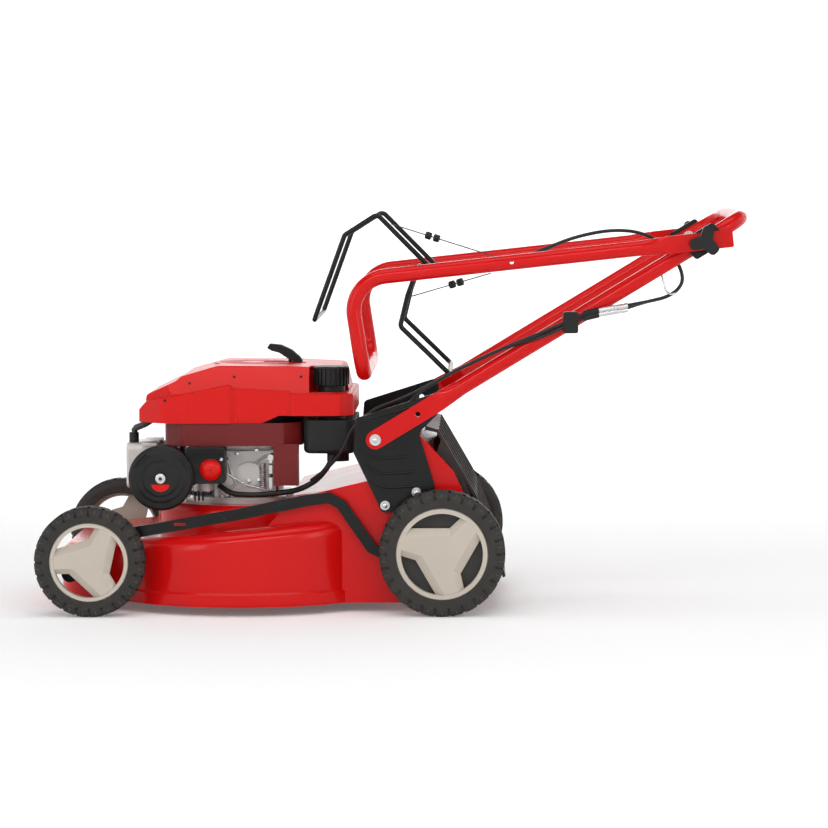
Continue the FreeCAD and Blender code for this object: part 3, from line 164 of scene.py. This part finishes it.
studio_bowl()
area_light("overhead_softbox", (0.1, -0.5, 3.1), (0, 0, 0.3), 3.2, 1.5, 30)
area_light("near_strip", (0.0, -2.6, 2.2), (0, 0, 0.3), 3.0, 0.3, 24)
area_light("front_softbox", (-2.8, -3.2, 1.3), (0, 0, 0.3), 1.0, 1.8, 15)
area_light("rear_softbox", (2.9, -2.6, 1.3), (0.1, 0, 0.4), 0.8, 1.8, 13)
area_light("backdrop_wash", (0.0, 3.4, 4.6), (0, 8.0, 0.6), 9.0, 1.2, 150)
area_light("far_side_strip", (0.2, 3.0, 1.6), (0, 0, 0.4), 3.0, 0.6, 16)
world = bpy.data.worlds.new("studio_air")
world.use_nodes = True
world.node_tree.nodes["Background"].inputs["Color"].default_value = (0.95, 0.97, 1.0, 1)
world.node_tree.nodes["Background"].inputs["Strength"].default_value = 0.12
bpy.context.scene.world = world
bpy.context.scene.view_settings.view_transform = "Standard"
bpy.context.scene.view_settings.look = "None"

# %% [markdown]
# Finishes.  Each real surface has a fine texture that tells what it is: enamel has orange peel,
# moulded plastic has spark-eroded grain, castings are sandy, rubber is dull with a dusty bloom.
# One builder makes the common tree: two tones mixed by noise, a second noise in the roughness,
# and a fine bump.  The constants that don't vary are set on the shader's own sockets.

# %% Finish builder
def finish(name, tone, other, patch=9.0, rough=(0.3, 0.4), metal=0.0, coat=0.0, coat_rough=0.1,
           grain=900.0, relief=0.05, depth=0.0003, shine=0.3):
    """A procedural material: tone and other are linear colours mixed in soft patches."""
    made = bpy.data.materials.new(name)
    made.use_nodes = True
    tree = made.node_tree
    shader = tree.nodes["Principled BSDF"]
    shader.inputs["Metallic"].default_value = metal
    shader.inputs["Coat Weight"].default_value = coat
    shader.inputs["Specular IOR Level"].default_value = shine
    shader.inputs["Coat Roughness"].default_value = coat_rough
    where = tree.nodes.new("ShaderNodeTexCoord")
    patches = tree.nodes.new("ShaderNodeTexNoise")
    patches.inputs["Scale"].default_value = patch
    patches.inputs["Detail"].default_value = 5.0
    tree.links.new(where.outputs["Object"], patches.inputs["Vector"])
    colours = tree.nodes.new("ShaderNodeMix")
    colours.data_type = "RGBA"
    colours.inputs[6].default_value = (*tone, 1)
    colours.inputs[7].default_value = (*other, 1)
    tree.links.new(patches.outputs["Fac"], colours.inputs[0])
    tree.links.new(colours.outputs[2], shader.inputs["Base Color"])
    smudge = tree.nodes.new("ShaderNodeTexNoise")
    smudge.inputs["Scale"].default_value = patch * 4
    smudge.inputs["Detail"].default_value = 3.0
    tree.links.new(where.outputs["Object"], smudge.inputs["Vector"])
    span = tree.nodes.new("ShaderNodeMapRange")
    span.inputs["To Min"].default_value = rough[0]
    span.inputs["To Max"].default_value = rough[1]
    tree.links.new(smudge.outputs["Fac"], span.inputs["Value"])
    tree.links.new(span.outputs["Result"], shader.inputs["Roughness"])
    texture = tree.nodes.new("ShaderNodeTexNoise")
    texture.inputs["Scale"].default_value = grain
    texture.inputs["Detail"].default_value = 2.0
    tree.links.new(where.outputs["Object"], texture.inputs["Vector"])
    bump = tree.nodes.new("ShaderNodeBump")
    bump.inputs["Strength"].default_value = relief
    bump.inputs["Distance"].default_value = depth
    tree.links.new(texture.outputs["Fac"], bump.inputs["Height"])
    tree.links.new(bump.outputs["Normal"], shader.inputs["Normal"])
    return made


red_enamel = finish("red_enamel", (0.60, 0.0045, 0.0045), (0.52, 0.0035, 0.0035), 5, (0.16, 0.24),
                    coat=0.12, coat_rough=0.04, shine=0.16, grain=420, relief=0.08)
red_moulding = finish("red_moulding", (0.64, 0.006, 0.004), (0.57, 0.005, 0.003), 6, (0.26, 0.36),
                      coat=0.05, coat_rough=0.15, shine=0.18, grain=1500, relief=0.08)
maroon_moulding = finish("maroon_moulding", (0.17, 0.009, 0.008), (0.12, 0.007, 0.007), 8,
                         (0.34, 0.46), grain=1500, relief=0.1)
black_enamel = finish("black_enamel", (0.006, 0.006, 0.006), (0.010, 0.010, 0.010), 8, (0.20, 0.30),
                      coat=0.1, coat_rough=0.10, shine=0.18, grain=600, relief=0.08)
black_moulding = finish("black_moulding", (0.010, 0.010, 0.010), (0.017, 0.017, 0.017), 14,
                        (0.38, 0.50), shine=0.22, grain=2200, relief=0.2)
tyre_rubber = finish("tyre_rubber", (0.020, 0.018, 0.016), (0.040, 0.036, 0.032), 18, (0.6, 0.78),
                     grain=1800, relief=0.25)
trim_silver = finish("trim_silver", (0.52, 0.465, 0.395), (0.47, 0.42, 0.36), 10, (0.36, 0.46),
                     metal=0.2, grain=2400, relief=0.12)
bright_zinc = finish("bright_zinc", (0.72, 0.72, 0.71), (0.55, 0.55, 0.56), 30, (0.18, 0.34),
                     metal=1.0, grain=1200, relief=0.12)
cast_alloy = finish("cast_alloy", (0.78, 0.76, 0.73), (0.50, 0.48, 0.46), 16, (0.34, 0.52),
                    metal=0.5, shine=0.5, grain=900, relief=0.5, depth=0.0006)
dark_iron = finish("dark_iron", (0.09, 0.085, 0.08), (0.05, 0.047, 0.045), 20, (0.5, 0.65),
                   metal=0.8, grain=700, relief=0.5, depth=0.0006)
flap_moulding = finish("flap_moulding", (0.020, 0.015, 0.013), (0.030, 0.023, 0.020), 12,
                       (0.36, 0.5), grain=1600, relief=0.2)
sheath = finish("cable_sheath", (0.010, 0.010, 0.010), (0.018, 0.018, 0.018), 40, (0.34, 0.46),
                grain=2600, relief=0.15)
gear_nylon = finish("gear_nylon", (0.028, 0.026, 0.024), (0.038, 0.035, 0.032), 16, (0.4, 0.5),
                    grain=1800, relief=0.15)

FINISHES = {
    red_enamel: ["deck_housing", "lower_handle", "upper_handle"],
    red_moulding: ["engine_cover", "primer_bulb", "starter_grille"],
    maroon_moulding: ["blower_housing"],
    black_enamel: ["left_handle_bracket", "right_handle_bracket", "height_notch_plate", "height_link",
                   "rear_carrier", "drive_bail", "brake_bail", "blade", "front_axle"],
    black_moulding: ["fuel_tank", "fuel_cap", "air_filter_housing", "air_filter_cover", "starter_grip",
                     "fold_spacers", "left_star_knob", "right_star_knob", "cable_clip",
                     "axle_bearings"],
    tyre_rubber: ["front_left_tyre", "front_right_tyre", "rear_left_tyre", "rear_right_tyre"],
    trim_silver: ["front_left_trim", "front_right_trim", "rear_left_trim", "rear_right_trim"],
    bright_zinc: ["bracket_bolts", "handle_bolts", "hinge_rod", "drive_shaft", "governor_linkage",
                  "crankshaft", "gearbox_pulley", "muffler"],
    cast_alloy: ["crankcase", "cylinder_head", "rocker_cover", "carburettor", "gearbox"],
    dark_iron: ["flywheel", "blade_adapter"],
    flap_moulding: ["discharge_flap"],
    sheath: ["control_cables_lower", "control_cables_upper", "bail_wires", "fuel_hose", "plug_lead",
             "drive_belt"],
    gear_nylon: ["left_ring_gear", "right_ring_gear", "left_pinion", "right_pinion"],
}
for surface, names in FINISHES.items():
    for name in names:
        slots = nodes[name].data.materials
        if len(slots) == 0:
            slots.append(surface)
        for index in range(len(slots)):
            slots[index] = surface
print("finished nodes:", sum(len(names) for names in FINISHES.values()), "of", len(nodes))

# %% [markdown]
# Small pieces share four builders.  Rods and blocks are closed meshes with softened edges, wires are
# curves with a round section, and every piece is told its finish, its body and its record slot.

# %% Piece builders
def settle(piece, surface, body, slot_name):
    """Give a finished piece its material, its body and the record slot it belongs to."""
    piece.data.materials.clear()
    piece.data.materials.append(surface)
    if body:
        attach(piece, body)
    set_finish(piece, slot_name)
    return piece


def from_bmesh(name, shape):
    bmesh.ops.recalc_face_normals(shape, faces=shape.faces)
    mesh = bpy.data.meshes.new(name)
    shape.to_mesh(mesh)
    shape.free()
    piece = bpy.data.objects.new(name, mesh)
    bpy.context.collection.objects.link(piece)
    return piece


def add_rod(shape, start, end, radius, sides=24, edge=0.12):
    """A closed cylinder from start to end with a softened rim."""
    way = end - start
    turn = way.to_track_quat("Z", "Y").to_matrix().to_4x4()
    made = bmesh.ops.create_cone(shape, cap_ends=True, segments=sides, radius1=radius * MM,
                                 radius2=radius * MM, depth=way.length,
                                 matrix=Matrix.Translation((start + end) / 2) @ turn)
    verts = set(made["verts"])
    rims = [e for e in shape.edges if e.verts[0] in verts and e.verts[1] in verts
            and abs((e.verts[1].co - e.verts[0].co).normalized().dot(way.normalized())) < 0.5]
    bmesh.ops.bevel(shape, geom=rims, offset=min(edge * radius, 1.0) * MM, segments=2,
                    affect="EDGES", profile=0.5)


def rods(name, ends, surface, body, slot_name, sides=24):
    """ends holds (start, end, radius) triples, in the mower's millimetres."""
    shape = bmesh.new()
    for start, end, radius in ends:
        add_rod(shape, place(*start), place(*end), radius, sides)
    piece = from_bmesh(name, shape)
    piece.data.polygons.foreach_set("use_smooth", [True] * len(piece.data.polygons))
    piece.data.set_sharp_from_angle(angle=math.radians(40))
    return settle(piece, surface, body, slot_name)


def blocks(name, corners, surface, body, slot_name, edge=0.6):
    """corners holds (low, high) pairs of opposite corners."""
    shape = bmesh.new()
    for low, high in corners:
        low, high = place(*low), place(*high)
        size = high - low
        made = bmesh.ops.create_cube(shape, size=1.0, matrix=Matrix.Translation((low + high) / 2)
                                     @ Matrix.Diagonal((size.x, size.y, size.z, 1)))
        verts = set(made["verts"])
        rims = [e for e in shape.edges if e.verts[0] in verts and e.verts[1] in verts]
        bmesh.ops.bevel(shape, geom=rims, offset=edge * MM, segments=2, affect="EDGES", profile=0.5)
    return settle(from_bmesh(name, shape), surface, body, slot_name)


def wires(name, routes, radius, surface, body, slot_name):
    """Round wires through control points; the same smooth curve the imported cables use."""
    data = bpy.data.curves.new(name, "CURVE")
    data.dimensions = "3D"
    data.bevel_depth = radius * MM
    data.bevel_resolution = 5
    data.resolution_u = 10
    data.use_fill_caps = True
    for route in routes:
        spline = data.splines.new("NURBS")
        spline.points.add(len(route) - 1)
        for point, spot in zip(spline.points, route):
            point.co = (*place(*spot), 1)
        spline.order_u = 3
        spline.use_endpoint_u = True
    piece = bpy.data.objects.new(name, data)
    bpy.context.collection.objects.link(piece)
    return settle(piece, surface, body, slot_name)


def as_mesh(piece):
    """The same piece with its curve turned into a mesh."""
    ready = piece.evaluated_get(bpy.context.evaluated_depsgraph_get())
    mesh = bpy.data.meshes.new_from_object(ready)
    swapped = bpy.data.objects.new(piece.name + "_mesh", mesh)
    bpy.context.collection.objects.link(swapped)
    slot_name = piece.get("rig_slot")
    surface = piece.data.materials[0]
    bpy.data.objects.remove(piece)
    return settle(swapped, surface, None, slot_name)


# %% [markdown]
# The two control cables leave the folded upper handle near its bails, arch over the fold joint, dive
# under it and follow the lower leg down to the gearbox and the engine.  They cross the joint, and each
# is one piece that turns round the fold.

# %% Control cables
CABLE_R = 2.75
SIDE_BY_SIDE = 6.5
for index, gap in enumerate((0.0, SIDE_BY_SIDE)):
    route = [(690, -196 + gap, 566 - gap), (729, -192 + gap, 583), (778, -182 + gap, 600),
             (831, -173 + gap, 609), (880, -168 + gap, 604), (920, -166 + gap, 578),
             (940, -165 + gap, 545), (942, -167 + gap, 521), (920, -176 + gap, 502),
             (880, -190 + gap, 494), (836, -205, 487 - gap), (793, -211, 480 - gap),
             (760, -211, 466 - gap), (712, -208, 445 - gap), (660, -200 + gap, 424),
             (608, -192 + gap, 400), (556, -188 + gap, 373)]
    if index == 0:
        route += [(508, -186, 342), (488, -187, 300), (486, -187, 256)]
    else:
        route += [(500, -178, 342), (452, -176, 326), (414, -174, 296), (398, -168, 256),
                  (374, -152, 226), (346, -138, 206)]
    cable = as_mesh(wires("control_cable_%d" % (index + 1), [route], CABLE_R, sheath, None,
                          "sheath_black"))
    if index == 0:
        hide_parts("control_cables_upper", "control_cables_lower")
    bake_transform(cable)
print("cables run from the upper handle to the engine")

# %% [markdown]
# A thin taut wire joins each bail to its cable, with a pair of black ferrules on it.  The bail swings
# on the upper handle.

# %% Bail wires
WIRE_R = 0.9
FERRULE_R = 6
FERRULE_LENGTH = 9
for bail, low, high, share in (("drive_bail", (477.5, -160, 618.6), (650, -200.5, 565), 0.38),
                               ("brake_bail", (510, -150, 503), (636, -200.5, 541), 0.56)):
    low, high = Vector(low), Vector(high)
    way = (high - low).normalized()
    run = [low.lerp(high, step / 12) for step in range(13)]
    wire = as_mesh(wires(bail + "_wire", [run], WIRE_R, dark_iron, None, "zinc_steel"))
    middle = low.lerp(high, share)
    sleeves = [(middle + way * gap, middle + way * (gap + FERRULE_LENGTH), FERRULE_R)
               for gap in (-11, 3)]
    ferrules = rods(bail + "_ferrules", sleeves, black_moulding, None, "sheath_black")
    if bail == "drive_bail":
        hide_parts("bail_wires")
    for piece in (wire, ferrules):
        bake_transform(piece)
    print(bail, "wire", round((high - low).length), "mm long")

# %% [markdown]
# Dressings keep the cables on the tube: bright adjuster sleeves, a black boot next to each, and a
# bent guide wire by the star knob.

# %% Cable dressings
rods("cable_adjusters", [((806, -210, 482), (852, -201.5, 489.5), 4.2),
                         ((806, -210, 475.5), (852, -201.5, 483), 4.2)],
     bright_zinc, "chassis", "zinc_steel")
rods("cable_boots", [((782, -211.2, 476.5), (806, -210, 482), 5.0),
                     ((782, -211.2, 470), (806, -210, 475.5), 5.0)],
     black_moulding, "chassis", "sheath_black")
wires("cable_guide_wire", [[(906, -178, 541), (910, -181, 528), (913, -184, 512), (922, -185, 505),
                            (930, -181, 508)]], 1.6, bright_zinc, "chassis", "zinc_steel")

# %% [markdown]
# The starter rope is wound on a reel under the cover, and a pull draws it out.  Its few visible
# millimetres are one piece.

# %% Starter rope
ROPE_R = 1.9
rope_run = [(306, 0, z) for z in (368, 372, 376, 380, 384, 388)]
starter_rope = as_mesh(wires("starter_rope", [rope_run], ROPE_R, sheath, None, "sheath_black"))
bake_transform(starter_rope)

# %% [markdown]
# The plug lead climbs from the rocker cover into the shroud inside a ribbed grey sleeve.  Straight rows
# of blocks are repeated by a small Geometry Nodes tree.

# %% Repeats along a line
def row_of_blocks(name, count, start, step, size, surface, body, slot_name):
    """count blocks of one size, each a step on from the last; the tree's inputs are named."""
    tree = bpy.data.node_groups.new(name + "_tree", "GeometryNodeTree")
    face = tree.interface
    sockets = {}
    for label, kind in (("Count", "NodeSocketInt"), ("Start", "NodeSocketVector"),
                        ("Step", "NodeSocketVector"), ("Size", "NodeSocketVector")):
        sockets[label] = face.new_socket(name=label, in_out="INPUT", socket_type=kind).identifier
    face.new_socket(name="Geometry", in_out="OUTPUT", socket_type="NodeSocketGeometry")
    given = tree.nodes.new("NodeGroupInput")
    line = tree.nodes.new("GeometryNodeMeshLine")
    line.mode = "OFFSET"
    cube = tree.nodes.new("GeometryNodeMeshCube")
    copies = tree.nodes.new("GeometryNodeInstanceOnPoints")
    solid = tree.nodes.new("GeometryNodeRealizeInstances")
    paint = tree.nodes.new("GeometryNodeSetMaterial")
    paint.inputs["Material"].default_value = surface
    result = tree.nodes.new("NodeGroupOutput")
    for source, target in ((given.outputs["Count"], line.inputs["Count"]),
                           (given.outputs["Start"], line.inputs["Start Location"]),
                           (given.outputs["Step"], line.inputs["Offset"]),
                           (given.outputs["Size"], cube.inputs["Size"]),
                           (line.outputs["Mesh"], copies.inputs["Points"]),
                           (cube.outputs["Mesh"], copies.inputs["Instance"]),
                           (copies.outputs["Instances"], solid.inputs["Geometry"]),
                           (solid.outputs["Geometry"], paint.inputs["Geometry"]),
                           (paint.outputs["Geometry"], result.inputs["Geometry"])):
        tree.links.new(source, target)
    return grown(name, tree, {sockets["Count"]: count, sockets["Start"]: place(*start),
                              sockets["Step"]: Vector(step) * MM, sockets["Size"]: Vector(size) * MM},
                 surface, body, slot_name)


def grown(name, tree, values, surface, body, slot_name):
    """Run a tree once and keep its mesh as an ordinary piece."""
    host = bpy.data.objects.new(name, bpy.data.meshes.new(name + "_seed"))
    bpy.context.collection.objects.link(host)
    step = host.modifiers.new("repeat", "NODES")
    step.node_group = tree
    for key, value in values.items():
        step[key] = value
    ready = host.evaluated_get(bpy.context.evaluated_depsgraph_get())
    host.data = bpy.data.meshes.new_from_object(ready)
    host.modifiers.clear()
    return settle(host, surface, body, slot_name)


def ring_of_blocks(name, count, centre, radius, size, surface, body, slot_name, phase=0.0):
    """Blocks set round an axis that points across the mower, each turned to face the axis."""
    tree = bpy.data.node_groups.new(name + "_tree", "GeometryNodeTree")
    face = tree.interface
    sockets = {}
    for label, kind in (("Count", "NodeSocketInt"), ("Radius", "NodeSocketFloat"),
                        ("Size", "NodeSocketVector"), ("Centre", "NodeSocketVector"),
                        ("Turn", "NodeSocketVector")):
        sockets[label] = face.new_socket(name=label, in_out="INPUT", socket_type=kind).identifier
    face.new_socket(name="Geometry", in_out="OUTPUT", socket_type="NodeSocketGeometry")
    given = tree.nodes.new("NodeGroupInput")
    circle = tree.nodes.new("GeometryNodeMeshCircle")
    where = tree.nodes.new("GeometryNodeInputPosition")
    facing = tree.nodes.new("FunctionNodeAlignRotationToVector")
    facing.axis = "X"
    cube = tree.nodes.new("GeometryNodeMeshCube")
    copies = tree.nodes.new("GeometryNodeInstanceOnPoints")
    solid = tree.nodes.new("GeometryNodeRealizeInstances")
    stand = tree.nodes.new("GeometryNodeTransform")
    paint = tree.nodes.new("GeometryNodeSetMaterial")
    paint.inputs["Material"].default_value = surface
    result = tree.nodes.new("NodeGroupOutput")
    for source, target in ((given.outputs["Count"], circle.inputs["Vertices"]),
                           (given.outputs["Radius"], circle.inputs["Radius"]),
                           (given.outputs["Size"], cube.inputs["Size"]),
                           (where.outputs["Position"], facing.inputs["Vector"]),
                           (circle.outputs["Mesh"], copies.inputs["Points"]),
                           (cube.outputs["Mesh"], copies.inputs["Instance"]),
                           (facing.outputs["Rotation"], copies.inputs["Rotation"]),
                           (copies.outputs["Instances"], solid.inputs["Geometry"]),
                           (solid.outputs["Geometry"], stand.inputs["Geometry"]),
                           (given.outputs["Centre"], stand.inputs["Translation"]),
                           (given.outputs["Turn"], stand.inputs["Rotation"]),
                           (stand.outputs["Geometry"], paint.inputs["Geometry"]),
                           (paint.outputs["Geometry"], result.inputs["Geometry"])):
        tree.links.new(source, target)
    return grown(name, tree, {sockets["Count"]: count, sockets["Radius"]: radius * MM,
                              sockets["Size"]: Vector(size) * MM, sockets["Centre"]: place(*centre),
                              sockets["Turn"]: (math.pi / 2, phase, 0.0)},
                 surface, body, slot_name)


# %% [markdown]
# Tyres: the shoulder of every tread block ends in a thin raised bar of paler rubber, a painted
# highlight where it catches the light; a moulded ring runs round the sidewall inside the bars.

# %% Tyre sidewalls
def rings(name, circles, surface, body, slot_name, steps=64):
    """circles holds (centre, axis, radius, section) in the mower's millimetres."""
    shape = bmesh.new()
    for centre, axis, radius, section in circles:
        turn = Vector(axis).to_track_quat("Z", "Y")
        loops = []
        for k in range(steps):
            a = 2 * math.pi * k / steps
            out = turn @ Vector((math.cos(a), math.sin(a), 0))
            along = turn @ Vector((0, 0, 1))
            loops.append([shape.verts.new(place(*centre) + out * (radius + section * math.cos(b)) * MM
                                          + along * section * math.sin(b) * MM)
                          for b in [2 * math.pi * j / 8 for j in range(8)]])
        for k in range(steps):
            here, beyond = loops[k], loops[(k + 1) % steps]
            for j in range(8):
                shape.faces.new((here[j], beyond[j], beyond[(j + 1) % 8], here[(j + 1) % 8]))
    piece = from_bmesh(name, shape)
    piece.data.polygons.foreach_set("use_smooth", [True] * len(piece.data.polygons))
    return settle(piece, surface, body, slot_name)


# The tread bars' paler rubber is a painted highlight on the block shoulders.
painted_highlight_rubber = finish("painted_highlight_rubber", (0.065, 0.060, 0.054), (0.10, 0.092, 0.083), 30, (0.5, 0.65),
                     grain=1800, relief=0.2)
for end, x, radius, count in (("front", 0, 87.5, 24), ("rear", 558, 100, 26)):
    for side, sign in (("left", -1), ("right", 1)):
        wheel = "%s_%s_wheel" % (end, side)
        ring_of_blocks("%s_tread_bars" % wheel, count, (x, sign * 258.9, radius), radius - 9.5,
                       (12.5, 1.0, 2.6), painted_highlight_rubber, wheel, "tyre_rubber",
                       phase=math.pi / count)
        rings("%s_bead" % wheel, [((x, sign * 259.4, radius), (0, 1, 0), radius - 18.5, 1.1)],
              tyre_rubber, wheel, "tyre_rubber", 96)

# %% [markdown]
# Air filter: two pressed arcs, a round bright stud and a plain red tab under it.  The housing behind
# has cooling ribs, and a bright spring clip holds its top edge.

# %% Air filter and primer
CX, CZ = 108.0, 214.0
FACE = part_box("air_filter_cover")[0][1] / MM
arcs = []
for radius, first, last in ((29, 70, 155), (36, 215, 300), (46, 20, 60), (46, 120, 160)):
    arcs.append([(CX + radius * math.cos(math.radians(a)), FACE + 0.7,
                  CZ + radius * math.sin(math.radians(a))) for a in range(first, last + 1, 12)])
wires("filter_cover_arcs", arcs, 1.1, black_moulding, "chassis", "black_plastic")
rods("filter_stud", [((CX, FACE + 3, CZ), (CX, FACE - 0.6, CZ), 8.2),
                     ((CX, FACE, CZ), (CX, FACE - 1.6, CZ), 4.4)],
     bright_zinc, "chassis", "zinc_steel", 32)
rods("filter_stud_centre", [((CX, FACE, CZ), (CX, FACE - 2.0, CZ), 3.0)],
     dark_iron, "chassis", "cast_iron")


def half_disc(name, centre, wide, tall, thick, surface, body, slot_name):
    """A flat tab: straight on top, rounded below."""
    shape = bmesh.new()
    rim = [(-wide / 2, 0.0), (wide / 2, 0.0)]
    rim += [(wide / 2 * math.cos(a), -tall * math.sin(a))
            for a in [math.pi * k / 14 for k in range(1, 14)]]
    front = [shape.verts.new(place(centre[0] + u, centre[1] - thick, centre[2] + v)) for u, v in rim]
    back = [shape.verts.new(place(centre[0] + u, centre[1] + thick, centre[2] + v)) for u, v in rim]
    shape.faces.new(front)
    shape.faces.new(back[::-1])
    for k in range(len(rim)):
        shape.faces.new((front[k], front[(k + 1) % len(rim)], back[(k + 1) % len(rim)], back[k]))
    return settle(from_bmesh(name, shape), surface, body, slot_name)


half_disc("filter_tab", (CX, FACE, CZ - 9.5), 29, 11.5, 0.5, red_moulding, "chassis", "red_plastic")
HOUSE_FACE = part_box("air_filter_housing")[0][1] / MM
row_of_blocks("filter_housing_ribs", 4, (181, HOUSE_FACE - 0.3, 244), (0, 0, 3.6),
              (46, 2.0, 1.5), black_moulding, "chassis", "black_plastic")
blocks("filter_clip", [((140, -142, 263), (172, -128, 266)), ((146, -143.5, 258), (152, -141.5, 265)),
                       ((160, -143.5, 258), (166, -141.5, 265))], bright_zinc, "chassis", "zinc_steel")
rods("housing_screws", [((155, HOUSE_FACE + 2, 183), (155, HOUSE_FACE - 1.2, 183), 3.2),
                        ((204, HOUSE_FACE + 2, 243), (204, HOUSE_FACE - 1.2, 243), 2.6)],
     bright_zinc, "chassis", "zinc_steel")
PRIMER_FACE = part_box("primer_bulb")[0][1] / MM
# The primer's dimple is a flat disc in a darker red: painted shade in the recess.
rods("primer_dimple_shade", [((186, PRIMER_FACE + 2, 226), (186, PRIMER_FACE - 0.2, 226), 1.6)],
     maroon_moulding, "primer_bulb", "red_plastic")

# %% [markdown]
# Engine side: the plug lead's ribbed sleeve, the gasket under the shroud, the casting's curved ribs,
# hexagon bolts, the clamp nuts on the throttle rod and three fins under the filter housing.

# %% Engine details
def surface_point(node, start, way):
    """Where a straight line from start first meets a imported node, in the mower's millimetres."""
    hit, spot = nodes[node].ray_cast(place(*start), Vector(way))[:2]
    if not hit:
        raise RuntimeError("no surface of %s on that line" % node)
    return ((spot.x - AXLE_X) / MM, spot.y / MM, spot.z / MM)


sleeve_grey = finish("sleeve_grey", (0.16, 0.155, 0.15), (0.09, 0.088, 0.085), 40, (0.4, 0.55),
                     metal=0.5, grain=2200, relief=0.3)
lead = [(50.2, -30.5, 277.5), (52, -32, 283), (70, -44, 290.5), (84, -51.4, 299.5)]
RIB_PITCH = 2.4
sleeve = []
for low, high in zip(lead, lead[1:]):
    span = Vector(high) - Vector(low)
    count = max(1, int(span.length / RIB_PITCH))
    for k in range(count):
        at = Vector(low) + span * (k + 0.5) / count
        sleeve.append((tuple(at), tuple(span), 4.6, 0.8))
rings("plug_lead_ribs", sleeve, sleeve_grey, "chassis", "sheath_black", 24)
blocks("shroud_gasket", [((190, -86, 262.2), (286, -60, 264.8))], bright_zinc, "chassis", "zinc_steel")
CASE_FACE = -92.0
rib_lines = [[(207, 238), (212, 226), (214, 212), (222, 198)],
             [(281, 245), (266, 240), (254, 231), (246, 219)],
             [(246, 219), (238, 206), (228, 200), (222, 198)],
             [(222, 198), (216, 190), (207, 184)],
             [(262, 196), (270, 190), (280, 184)]]
ribs = [[(x, CASE_FACE, z) for x, z in line] for line in rib_lines]
wires("crankcase_ribs", ribs, 2.6, cast_alloy, "chassis", "cast_alloy")
# Dark discs stand for the two boss holes at the rib ends: painted shade inside the holes.
rods("crankcase_boss_hole_shade", [((207, -96, 238), (207, -97.3, 238), 2.6),
                              ((281, -96, 245), (281, -97.3, 245), 2.6)],
     dark_iron, "chassis", "cast_iron")
rods("crankcase_bolts", [((260, -92, 203), (260, -99, 203), 5.0),
                         ((243, -92, 201), (243, -98, 201), 4.4),
                         ((207, -96, 184), (207, -99.5, 184), 4.2),
                         ((280, -96, 184), (280, -99.5, 184), 4.2),
                         ((224, -92, 246), (224, -96.5, 246), 3.6),
                         ((256, -92, 252), (256, -96.5, 252), 3.6)],
     bright_zinc, "chassis", "zinc_steel", 6)
rods("throttle_rod_nuts", [((279, -105.2, 208), (279, -105.2, 214), 4.2),
                           ((279, -105.2, 228), (279, -105.2, 231), 3.8)],
     bright_zinc, "chassis", "zinc_steel", 6)
row_of_blocks("filter_fins", 3, (158, -128, 180), (6.4, 0, 0), (2.6, 10, 15), black_moulding,
              "chassis", "black_plastic")
head_bolts = [((x, -90, 171), (x, -90, 178), 4.6) for x in (198, 214)]
rods("base_bolts", head_bolts, bright_zinc, "chassis", "zinc_steel", 6)
print("engine side: %d sleeve ribs, %d casting ribs" % (len(sleeve), len(ribs)))

# %% [markdown]
# Cover screws and the row of short bright dashes on the deck are laid on the real surfaces: a line is
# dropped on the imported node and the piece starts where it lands.

# %% Cover screws and deck dashes
screws = []
for x, z in ((112, 336), (150, 362), (222, 372), (330, 372)):
    spot = Vector(surface_point("engine_cover", (x, -400, z), (0, 1, 0)))
    screws.append((tuple(spot + Vector((0, 2, 0))), tuple(spot + Vector((0, -0.5, 0))), 2.4))
rods("cover_screws", screws, black_moulding, "chassis", "black_plastic")
dashes = []
for k in range(17):
    x = 216 + 4.2 * k
    spot = surface_point("deck_housing", (x, -212, 300), (0, 0, -1))
    dashes.append(((x - 0.8, -214, spot[2] - 0.6), (x + 0.8, -208, spot[2] + 0.5)))
blocks("deck_dashes", dashes, trim_silver, "chassis", "trim_plastic", 0.25)

# %% [markdown]
# Pressed panels: the black handle brackets carry four raised beads each, and the rear flap has long
# moulded ribs that follow its curve.

# %% Bracket beads and flap ribs
beads = [[(428, 262), (440, 250), (468, 246), (502, 250)],
         [(438, 236), (452, 224), (478, 222), (512, 226)],
         [(446, 210), (458, 202), (484, 200), (516, 203)],
         [(428, 306), (470, 318), (520, 332)]]
for side, sign in (("left", -1), ("right", 1)):
    wires("%s_bracket_beads" % side,
          [[(x, sign * 201.6, z) for x, z in bead] for bead in beads], 2.2, black_enamel, "chassis", "black_paint")
flap_line = [(552, 290), (588, 228), (612, 186), (630, 140), (652, 78)]
wires("flap_ribs", [[(x + 0.6, y, z + 0.3) for x, z in flap_line]
                    for y in (-150, -90, -30, 30, 90, 150)],
      1.8, flap_moulding, "discharge_flap", "flap_plastic")

# %% [markdown]
# Bolt heads: a domed centre on each hexagon, as a pressed cap screw has.

# %% Bolt domes
def domes(name, spots, surface, body, slot_name):
    """Low rounded caps; spots holds (centre, outward direction along Y, radius); the direction is not used."""
    shape = bmesh.new()
    for centre, sign, radius in spots:
        made = bmesh.ops.create_uvsphere(shape, u_segments=24, v_segments=12, radius=radius * MM)
        for vert in made["verts"]:
            vert.co = place(*centre) + Vector((vert.co.x, vert.co.y * 0.45, vert.co.z))
    piece = from_bmesh(name, shape)
    piece.data.polygons.foreach_set("use_smooth", [True] * len(piece.data.polygons))
    return settle(piece, surface, body, slot_name)


heads = []
for bolts, x, z in (("handle_bolts", 452, 277), ("bracket_bolts", 467, 172),
                    ("bracket_bolts", 517, 193)):
    for sign in (-1, 1):
        spot = surface_point(bolts, (x, sign * 300, z), (0, -sign, 0))
        heads.append((spot, sign, 4.2))
domes("bolt_domes", heads, bright_zinc, "chassis", "zinc_steel")
